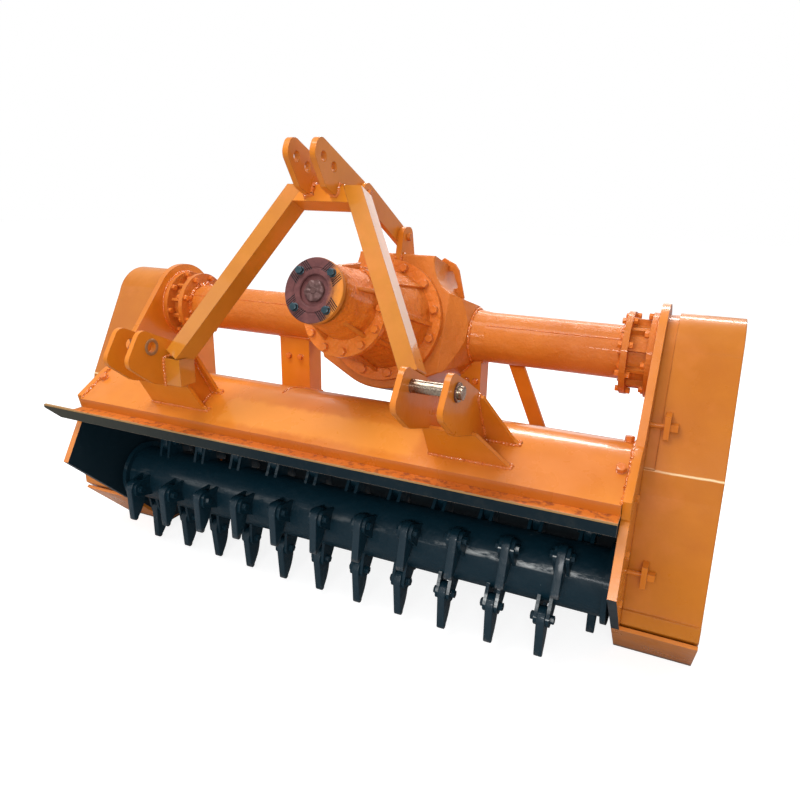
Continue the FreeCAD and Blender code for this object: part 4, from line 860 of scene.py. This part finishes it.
flange_bolt = hex_bolt(0.017, 0.008, 0.002)
flange_spots = [spot for turn in BOLT_TURNS
                for spot in circle(drive_point(FLANGE_FACE), DRIVE, FLANGE_BOLT_CIRCLE, 2, turn, SIDE)]
flange_bolts = [stand(flange_bolt, spot, DRIVE, random.uniform(0, 1)) for spot in flange_spots]
flange_nuts = [stand(flange_bolt, spot - DRIVE * DISC_DEPTH, -DRIVE, random.uniform(0, 1)) for spot in flange_spots]
finish(joined(flange_bolts + flange_nuts, "flange_bolts"), "flange_bolts", bolt_teal, "input")

rough_nut = lathe([(0, 0), (0.0272, 0), (0.0272, 0.0048), (0.0262, 0.0068), (0.0235, 0.0080), (0.0195, 0.0086),
                   (0.0150, 0.0082), (0.0105, 0.0086), (0.0055, 0.0080), (0, 0.0080)], 72)
for vert in rough_nut.data.vertices:
    out = vert.co.xy.length
    if vert.co.z > 0.003 and out > 0.001:
        lobes = math.cos(6 * math.atan2(vert.co.y, vert.co.x) + 1.2)
        vert.co.z += 0.0026 * lump.noise(vert.co * 150) + 0.0010 * lobes * min(1, out / 0.02) - 0.0008
        vert.co.xy *= 1 + 0.030 * lobes - 0.03
nut_seat = drive_point(FLANGE_FACE - RECESS)
nut = stand(rough_nut, nut_seat, DRIVE, 0.3)
tip = lathe([(0, 0), (0.0085, 0), (0.0085, 0.0085), (0.007, 0.0098), (0, 0.0098)], 24)
shaft_tip = stand(tip, nut_seat, DRIVE)
finish(joined([nut, shaft_tip], "flange_nut"), "flange_nut", nut_brown, "input")
for spare in (flange_bolt, rough_nut, tip):
    bpy.data.objects.remove(spare)
print("drive flange radius:", FLANGE_RADIUS, "bolts:", len(flange_spots))

# %% [markdown]
# Hexagon bolts hold the carrier, the bearing cage, the hubs and the end flanges. A
# bolt is modelled once, with a chamfered crown and a washer, and each ring gets copies
# turned by chance, because nobody lines up hexagons when tightening them. The rings on the
# drive sit at the model's own distances along its axis, counted ahead of the axle.

# %% Bolt rings
cast_bolt = hex_bolt(0.0215, 0.0072, 0.0022)
small_bolt = hex_bolt(0.0185, 0.0080, 0.002)
flat_bolt = hex_bolt(0.0160, 0.0045, 0.0014)
end_bolt = hex_bolt(0.0155, 0.009, 0.002)


def bolt_ring(name, template, spots, along):
    """Copies of a bolt at each spot, joined into one piece."""
    made = [stand(template, spot, along, random.uniform(0, 1)) for spot in spots]
    finish(joined(made, name), name, paint_bolt, smooth=30)


CARRIER_SEAT = 0.148
CAGE_SEAT = 0.380
CAGE_DROP = 0.020
COVER_SEAT = -0.095
cage_centre = drive_point(CAGE_SEAT) - DRIVE_UP * CAGE_DROP
for name, template, centre, along, radius, count, degrees in (
        ("carrier_bolts", cast_bolt, drive_point(CARRIER_SEAT), DRIVE, 0.156, 12, 15),
        ("cage_bolts", small_bolt, cage_centre, DRIVE, 0.105, 12, 9),
        ("rear_cover_bolts", flat_bolt, drive_point(COVER_SEAT), -DRIVE, 0.157, 14, 0)):
    bolt_ring(name, template, circle(centre, DRIVE, radius, count, math.radians(degrees), SIDE), along)
for side, tag in SIDES:
    # each box is read from the machine's middle outwards
    end_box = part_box("axle_end_flange_" + tag)[::side]
    mount_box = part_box("hub_mount_flange_" + tag)[::side]
    for name, x, radius, degrees, way in (
            ("end_flange_bolts_", end_box[0].x, 0.0985, 22, -side),
            ("end_flange_nuts_", end_box[1].x, 0.1020, 22, side),
            ("hub_bolts_", mount_box[0].x, 0.1035, 4, -side)):
        spots = circle((x, AXLE_Y, AXLE_Z), SIDE, radius, 8, math.radians(degrees))
        bolt_ring(name + tag, end_bolt, spots, SIDE * way)
print("bolt rings on the drive and the axle ends")

# %% [markdown]
# Weld beads run where two plates meet. They are found, not drawn: an edge of one node that
# lies on another node's surface, and has the contact face on one side only, is a seam.
# Along each seam a thin tube is laid, whose radius rises and falls like the ripples a welder
# leaves, and whose path wanders a little.

# %% Weld beads
SEAM_REACH = 0.0016
welds = []


def welded_mesh(node):
    """A merged scratch copy of a node's mesh in the machine's frame."""
    mesh = bmesh.new()
    mesh.from_mesh(node.data)
    mesh.transform(node.matrix_world)
    bmesh.ops.remove_doubles(mesh, verts=mesh.verts, dist=0.00005)
    return mesh


def distance_to(node, point):
    """How far a point lies from a node's surface."""
    local = node.matrix_world.inverted() @ point
    found, place, normal, index = node.closest_point_on_mesh(local)
    return (place - local).length if found else 1.0


def seam_edges(first, second, reach):
    """Edges of the first node that lie on the second and bound their contact."""
    mesh = welded_mesh(nodes[first])
    on = {}
    for vert in mesh.verts:
        on[vert] = distance_to(nodes[second], vert.co) < reach
    found = []
    for edge in mesh.edges:
        start, end = edge.verts
        if not (on[start] and on[end]) or edge.calc_length() < 0.002:
            continue
        middle = (start.co + end.co) / 2
        if distance_to(nodes[second], middle) > reach:
            continue
        flush = [all(on[vert] for vert in face.verts) for face in edge.link_faces]
        if len(flush) == 2 and flush.count(True) != 2:
            found.append((start.index, start.co.copy(), end.index, end.co.copy()))
    mesh.free()
    return found


def chains(edges):
    """Edges walked end to end into long paths."""
    places = {}
    near = {}
    for a, first, b, second in edges:
        places[a] = first
        places[b] = second
        near.setdefault(a, set()).add(b)
        near.setdefault(b, set()).add(a)
    paths = []
    while any(near.values()):
        ends = [key for key, value in near.items() if len(value) == 1]
        here = ends[0] if ends else next(key for key, value in near.items() if value)
        path = [here]
        while near[here]:
            after = near[here].pop()
            near[after].discard(here)
            path.append(after)
            here = after
        paths.append([places[key] for key in path])
    return paths


def laid(path, step):
    """The path cut into even steps."""
    points = [path[0]]
    left = step
    for first, second in zip(path, path[1:]):
        length = (second - first).length
        place = left
        while place < length:
            points.append(first.lerp(second, place / length))
            place += step
        left = place - length
    points.append(path[-1])
    return points


def bead(name, paths, radius, wander=0.15, ripple=0.4):
    """One weld piece: a rippled tube along each path."""
    curve = bpy.data.curves.new(name, "CURVE")
    curve.dimensions = "3D"
    curve.bevel_depth = radius
    curve.bevel_resolution = 1
    curve.use_fill_caps = True
    for path in paths:
        points = laid(path, radius * 0.55)
        if len(points) < 4:
            continue
        spline = curve.splines.new("POLY")
        spline.points.add(len(points) - 1)
        swell = 1.0
        for i, point in enumerate(points):
            swell += random.uniform(-0.10, 0.10)
            swell = max(0.75, min(1.25, swell))
            drift = Vector([random.gauss(0, radius * wander * 0.4) for k in range(3)])
            spline.points[i].co = (*(point + drift), 1)
            spline.points[i].radius = swell * (1 + ripple * (0.5 if i % 3 == 0 else -0.25))
    if not curve.splines:
        return None
    made = finish(meshed(name, curve), name, paint_weld, smooth=60)
    welds.append(made)
    return made


def seam(first, second, radius, reach=SEAM_REACH, wander=0.2):
    """A bead along every seam of the first node on the second."""
    paths = [path for path in chains(seam_edges(first, second, reach))
             if sum((b - a).length for a, b in zip(path, path[1:])) > 0.012]
    made = bead("weld_" + first + "_" + second, paths, radius, wander) if paths else None
    print("weld", first, second, "paths", len(paths), "triangles", len(made.data.polygons) * 2 if made else 0)


for side, tag in SIDES:
    seam("axle_post_" + tag, "hood_shell", 0.0055)
    seam("axle_post_" + tag, "axle_housing", 0.005)
    seam("link_gussets_" + tag, "hood_shell", 0.005)
    seam("link_gussets_" + tag, "link_plates_" + tag, 0.005)
    seam("link_plates_" + tag, "hood_shell", 0.005)
    seam("mast_leg_" + tag, "link_plates_" + tag, 0.005, 0.004)
    seam("mast_leg_" + tag, "mast_cross_member", 0.003)
    seam("hood_shell", "side_plate_" + tag, 0.0055, SEAM_REACH, 0.5)
    seam("axle_housing", "axle_end_flange_" + tag, 0.0085, SEAM_REACH, 0.5)
    seam("hub_mount_flange_" + tag, "side_plate_" + tag, 0.004)
seam("top_link_ears", "mast_cross_member", 0.0075, SEAM_REACH, 0.5)
seam("stay_pedestal", "axle_housing", 0.005)
seam("rear_brace", "hood_shell", 0.005)
seam("rear_brace", "axle_housing", 0.005)
seam("hood_lip", "hood_shell", 0.003)
print("welds:", len(welds))

# %% [markdown]
# The tube has more beads than its ends: a ring where each neck of the banjo housing meets
# it, and the long seam of rolled and welded pipe. An arc of weld also lies on the hood's roll.
# Rings, lines and arcs are easy paths, so they are given directly, and rays cast on the model
# give the tube's radius and the hood's height.

# %% Tube beads
NECK_END = 0.238
TUBE_START = 0.283
tube_radius = from_above("axle_housing", 0.55, AXLE_Y).z - AXLE_Z
neck_radius = from_above("axle_housing", DRIVE_X + NECK_END + 0.002, AXLE_Y).z - AXLE_Z
neck_rings = [circle((DRIVE_X + side * NECK_END, AXLE_Y, AXLE_Z), SIDE, neck_radius, 72) for side, tag in SIDES]
bead("weld_neck_rings", [ring + ring[:1] for ring in neck_rings], 0.0055, 0.4)
seam_turn = math.radians(38)
seam_place = Vector((0, AXLE_Y - tube_radius * math.cos(seam_turn), AXLE_Z + tube_radius * math.sin(seam_turn)))
tube_ends = [(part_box("axle_end_flange_left")[1].x, DRIVE_X - TUBE_START),
             (DRIVE_X + TUBE_START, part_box("axle_end_flange_right")[0].x)]
lines = [[seam_place + SIDE * start, seam_place + SIDE * end] for start, end in tube_ends]
bead("weld_tube_seams", lines, 0.0016, 0.2, 0.1)

arc = []
for i in range(17):
    turn = math.radians(200 - 8.5 * i)
    x, y = DRIVE_X - 0.170 + 0.052 * math.cos(turn), ROLL_Y - 0.0071 + 0.075 * math.sin(turn)
    arc.append(from_above("hood_shell", x, y))
bead("weld_hood_arc", [arc], 0.0035, 0.3)
print("tube radius", round(tube_radius, 4), "welds:", len(welds))

# %% [markdown]
# Where the hood ends, the side plate's edge stands a little proud of it and is welded along.
# A narrow edging bar closes that joint on each side. Its outline follows the hood's surface,
# found by rays from above, so it fits the slope and the roll exactly.

# %% Edging bars


def curve_plate(name, outline, thickness, edge, holes=()):
    """A flat plate with rounded edges from a closed outline in X and Y."""
    curve = bpy.data.curves.new(name, "CURVE")
    curve.dimensions = "2D"
    curve.fill_mode = "BOTH"
    curve.extrude = thickness / 2 - edge
    curve.bevel_depth = edge
    curve.bevel_resolution = 2
    curve.offset = -edge
    for loop in (outline, *holes):
        spline = curve.splines.new("POLY")
        spline.points.add(len(loop) - 1)
        for point, (x, y) in zip(spline.points, loop):
            point.co = (x, y, 0, 1)
        spline.use_cyclic_u = True
    return meshed(name, curve, MERGE)


BAR_SINK = 0.046
BAR_INSET = 0.004
bar_y = [hood_low.y + 0.004 + 0.0085 * i for i in range(24)]
for side, tag in SIDES:
    upper = [(y, from_above("hood_shell", side * (hood_high.x - BAR_INSET), y).z + 0.006) for y in bar_y]
    lower = [(y + 0.010, z - BAR_SINK) for y, z in reversed(upper)]
    bar = curve_plate("bar", upper + lower, 0.0195, 0.0015)
    bake(bar, Matrix.Translation((side * (hood_high.x + 0.010), 0, 0)) @ IN_YZ)
    finish(bar, "edging_bar_" + tag, paint_plate)
    bead("weld_edging_" + tag, [[Vector((side * hood_high.x, y, z - 0.0055)) for y, z in upper]], 0.0045, 0.6)
print("edging bars along", len(bar_y), "points")

# %% [markdown]
# The flails swing on pins between pairs of lugs. Each is a forged claw: a round head, a
# straight cutting edge and a back that narrows to a blunt tip. One outline is drawn as a flat
# curve, thickened with rounded edges, and stood at each of the model's places. How far a
# point lies from the pin is kept with the mesh, so that the paint can wear off the tips.

# %% Claws
REACH = 0.104
HEAD = 0.030
PIN_CIRCLE = 0.128
CLAW_COUNT = 44
CLAW_ROWS = 4
CLAW_TWIST = 50
CLAW_PHASE = 25
CLAW_LEAN = 110
CLAW_WIDTH = 0.022
LUG_OUT = 0.0202


def through(first, middle, last, steps):
    """Points of a smooth bow through three points."""
    made = []
    for i in range(steps + 1):
        t = i / steps
        weights = ((1 - t) * (1 - 2 * t), 4 * t * (1 - t), t * (2 * t - 1))
        made.append(tuple(sum(w * p[k] for w, p in zip(weights, (first, middle, last))) for k in (0, 1)))
    return made


claw_line = [(HEAD * math.cos(math.radians(a)), HEAD * math.sin(math.radians(a))) for a in range(180, -1, -12)]
claw_line += through((0.030, 0), (0.0198, -0.052), (-0.010, -0.095), 10)[1:]
claw_line += [(-0.019 + 0.009 * math.cos(math.radians(a)), -0.095 + 0.009 * math.sin(math.radians(a)))
              for a in range(-20, -181, -20)]
claw = bake(curve_plate("claw", claw_line, 0.0218, 0.0025), IN_YZ)
reach = claw.data.attributes.new("reach", "FLOAT", "POINT")
for vert in claw.data.vertices:
    reach.data[vert.index].value = max(0.0, -vert.co.z / REACH)

claws = []
pins = []
pin_bolt = hex_bolt(0.0195, 0.0085, 0.0015)
flail_low, flail_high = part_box("flails")
span = (flail_high.x - flail_low.x) - CLAW_WIDTH
for i in range(CLAW_COUNT):
    x = span * (i / (CLAW_COUNT - 1) - 0.5)
    turn = CLAW_PHASE + 360 * (i % CLAW_ROWS) / CLAW_ROWS + CLAW_TWIST * x / span
    turn = (turn + 180) % 360 - 180
    lean = max(-CLAW_LEAN, min(CLAW_LEAN, turn))
    swing = random.uniform(-5, 5) if abs(turn) < 60 else 0.0
    pin = Matrix.Translation((x, ROTOR_Y, ROTOR_Z)) @ Matrix.Rotation(math.radians(-turn), 4, "X")
    pin = pin @ Matrix.Translation((0, 0, -PIN_CIRCLE))
    claws.append(copied(claw, pin @ Matrix.Rotation(math.radians(lean + swing), 4, "X")))
    for side, tag in SIDES:
        pins.append(stand(pin_bolt, pin @ Vector((side * LUG_OUT, 0, 0)), SIDE * side, random.uniform(0, 1)))


def claw_paint():
    """Dark paint that gives way to bruised steel towards each claw's tip."""
    mat, bsdf = shader("claw_paint")
    reach = add("Attribute", attribute_name="reach").outputs["Fac"]
    worn = ramp(plus(reach, wobble(0.9, 55, 6, 0.7)), [(0.86, 0.0), (1.02, 0.8)])
    bare = sums("MAXIMUM", worn, times(edge_wear(0.003, 0.2), 0.5))
    metal = ramp(noise(90, 5, 0.7), [(0.35, (0.05, 0.055, 0.06)), (0.7, (0.17, 0.18, 0.19))])
    link(mixed(bare, dark_colour(DARK, SCUFFED, 0.6), metal), bsdf.inputs["Base Color"])
    link(times(bare, 0.7), bsdf.inputs["Metallic"])
    gloss(bsdf, 30, 0.3, 0.55, shine=0.35, coat=0.18, coat_rough=0.12)
    dark_bumps(bsdf, [(45, 5, 0.65, 0.004, 0.7), (200, 5, 0.7, 0.001, 0.5)])
    return mat


claw_set = finish(joined(claws, "claws"), "claws", claw_paint(), "rotor", 35)
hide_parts("flails")
finish(joined(pins, "claw_pins"), "claw_pins", dark_rotor, "rotor", 30)
bpy.data.objects.remove(claw)
print("claws:", CLAW_COUNT, "triangles:", sum(len(p.vertices) - 2 for p in claw_set.data.polygons))

# %% [markdown]
# Small fittings that are easy to miss and make it look built: bushes and washers on the
# hitch, the slotted strap behind the banjo housing, ribs round the bearing cage, bolts beside
# the hood's roll and on the posts, clips on the side plates. Each is cut from plate or turned,
# and placed by its offset from the piece that carries it.

# %% Fittings
bush = lathe([(0.0146, -0.0004), (0.0146, 0.0026), (0.0152, 0.0032), (0.0205, 0.0032), (0.0216, 0.0022),
              (0.0216, -0.0004), (0.0146, -0.0004)], 40)
HITCH_Y, HITCH_Z = box_middle("link_pin_right")[1:]
CAP_INSET = 0.0140


def hitch_pair(name, template, node, inset, mat):
    """Two turned pieces on the hitch pin's line, one at each end of a node."""
    ends = [stand(template, (corner.x - side * inset, HITCH_Y, HITCH_Z), SIDE * side)
            for (side, tag), corner in zip(SIDES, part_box(node))]
    finish(joined(ends, name), name, mat, "frame")


hitch_pair("hitch_bushes", bush, "link_plates_left", 0.0, bush_brown)
washer = lathe([(0, 0), (0.0205, 0), (0.0215, 0.001), (0.0215, 0.0035), (0.0205, 0.0045), (0, 0.0045)], 40)
hitch_pair("pin_washers", washer, "link_pin_right", CAP_INSET, nut_brown)


def slot_loop(middle, length, width, turn, steps=8):
    """A round-ended slot's outline, clockwise."""
    half = (length - width) / 2
    points = []
    for sign in (1, -1):
        for i in range(steps + 1):
            angle = math.pi / 2 - math.pi * i / steps if sign > 0 else -math.pi / 2 - math.pi * i / steps
            points.append((sign * half + width / 2 * math.cos(angle), width / 2 * math.sin(angle)))
    c, s = math.cos(turn), math.sin(turn)
    return [(middle[0] + c * x - s * y, middle[1] + s * x + c * y) for x, y in points]


STRAP_BACK = 0.059868
strap_line = [(0.090, 0.202), (0.103, 0.213), (0.140, 0.196), (0.152, 0.179), (0.172, 0.097),
              (0.130, 0.085), (0.112, 0.132)]
strap_slot = slot_loop((0.134, 0.149), 0.055, 0.017, math.radians(-68))
strap = curve_plate("strap", strap_line, 0.008, 0.0012, [strap_slot])
finish(bake(strap, Matrix.Translation((DRIVE_X, AXLE_Y + STRAP_BACK, AXLE_Z)) @ IN_XZ), "banjo_strap", paint_cast)

rib_line = [(0.070, -0.002), (0.074, 0.092), (0.082, 0.080), (0.106, 0.006), (0.110, -0.002)]
rib = bake(curve_plate("rib", rib_line, 0.011, 0.002), IN_XZ)
cage_ribs = [copied(rib, Matrix.Translation(drive_point(CAGE_SEAT)) @ TO_DRIVE
                    @ Matrix.Rotation(math.radians(degrees), 4, "Z"))
             for degrees in (20, 78, 132, 188, 246, 312)]
finish(joined(cage_ribs, "cage_ribs"), "cage_ribs", paint_cast)

roll_bolt = hex_bolt(0.020, 0.012, 0.002)
roll_bolts = []
for side, tag in SIDES:
    for behind_roll in (0.0229, -0.0951):
        spot = from_above("hood_shell", side * (hood_high.x - 0.017), ROLL_Y + behind_roll)
        normal = Vector((0, behind_roll, spot.z - (hood_high.z - ROLL_RADIUS))).normalized()
        roll_bolts.append(stand(roll_bolt, spot, normal, 0.4))
finish(joined(roll_bolts, "roll_bolts"), "roll_bolts", paint_weld)

POST_BOLT_Z = AXLE_Z - 0.128
post_bolts = []
for tag, offsets in (("left", (-0.021, 0.023)), ("right", (-0.012, 0.016))):
    for offset in offsets:
        start = (box_middle("axle_post_" + tag)[0] + offset, -1.0, POST_BOLT_Z)
        spot = surface("axle_post_" + tag, start, (0, 1, 0))
        post_bolts.append(stand(end_bolt, spot, (0, -1, 0), random.uniform(0, 1)))
finish(joined(post_bolts, "post_bolts"), "post_bolts", paint_weld)

clip = curve_plate("clip", [(-0.007, -0.005), (-0.007, 0.005), (0.007, 0.005), (0.007, -0.005)], 0.012, 0.0012)
clips = [stand(clip, (side * (plate_high.x + 0.002), plate_low.y + back, plate_low.z + up), SIDE * side, 0.5)
         for side, tag in SIDES
         for back, up in ((0.170868, 0.526), (0.087868, 0.425), (0.060868, 0.320))]
finish(joined(clips, "plate_clips"), "plate_clips", paint_plate)
for spare in (bush, washer, rib, pin_bolt, roll_bolt, clip, cast_bolt, small_bolt, flat_bolt, end_bolt):
    bpy.data.objects.remove(spare)
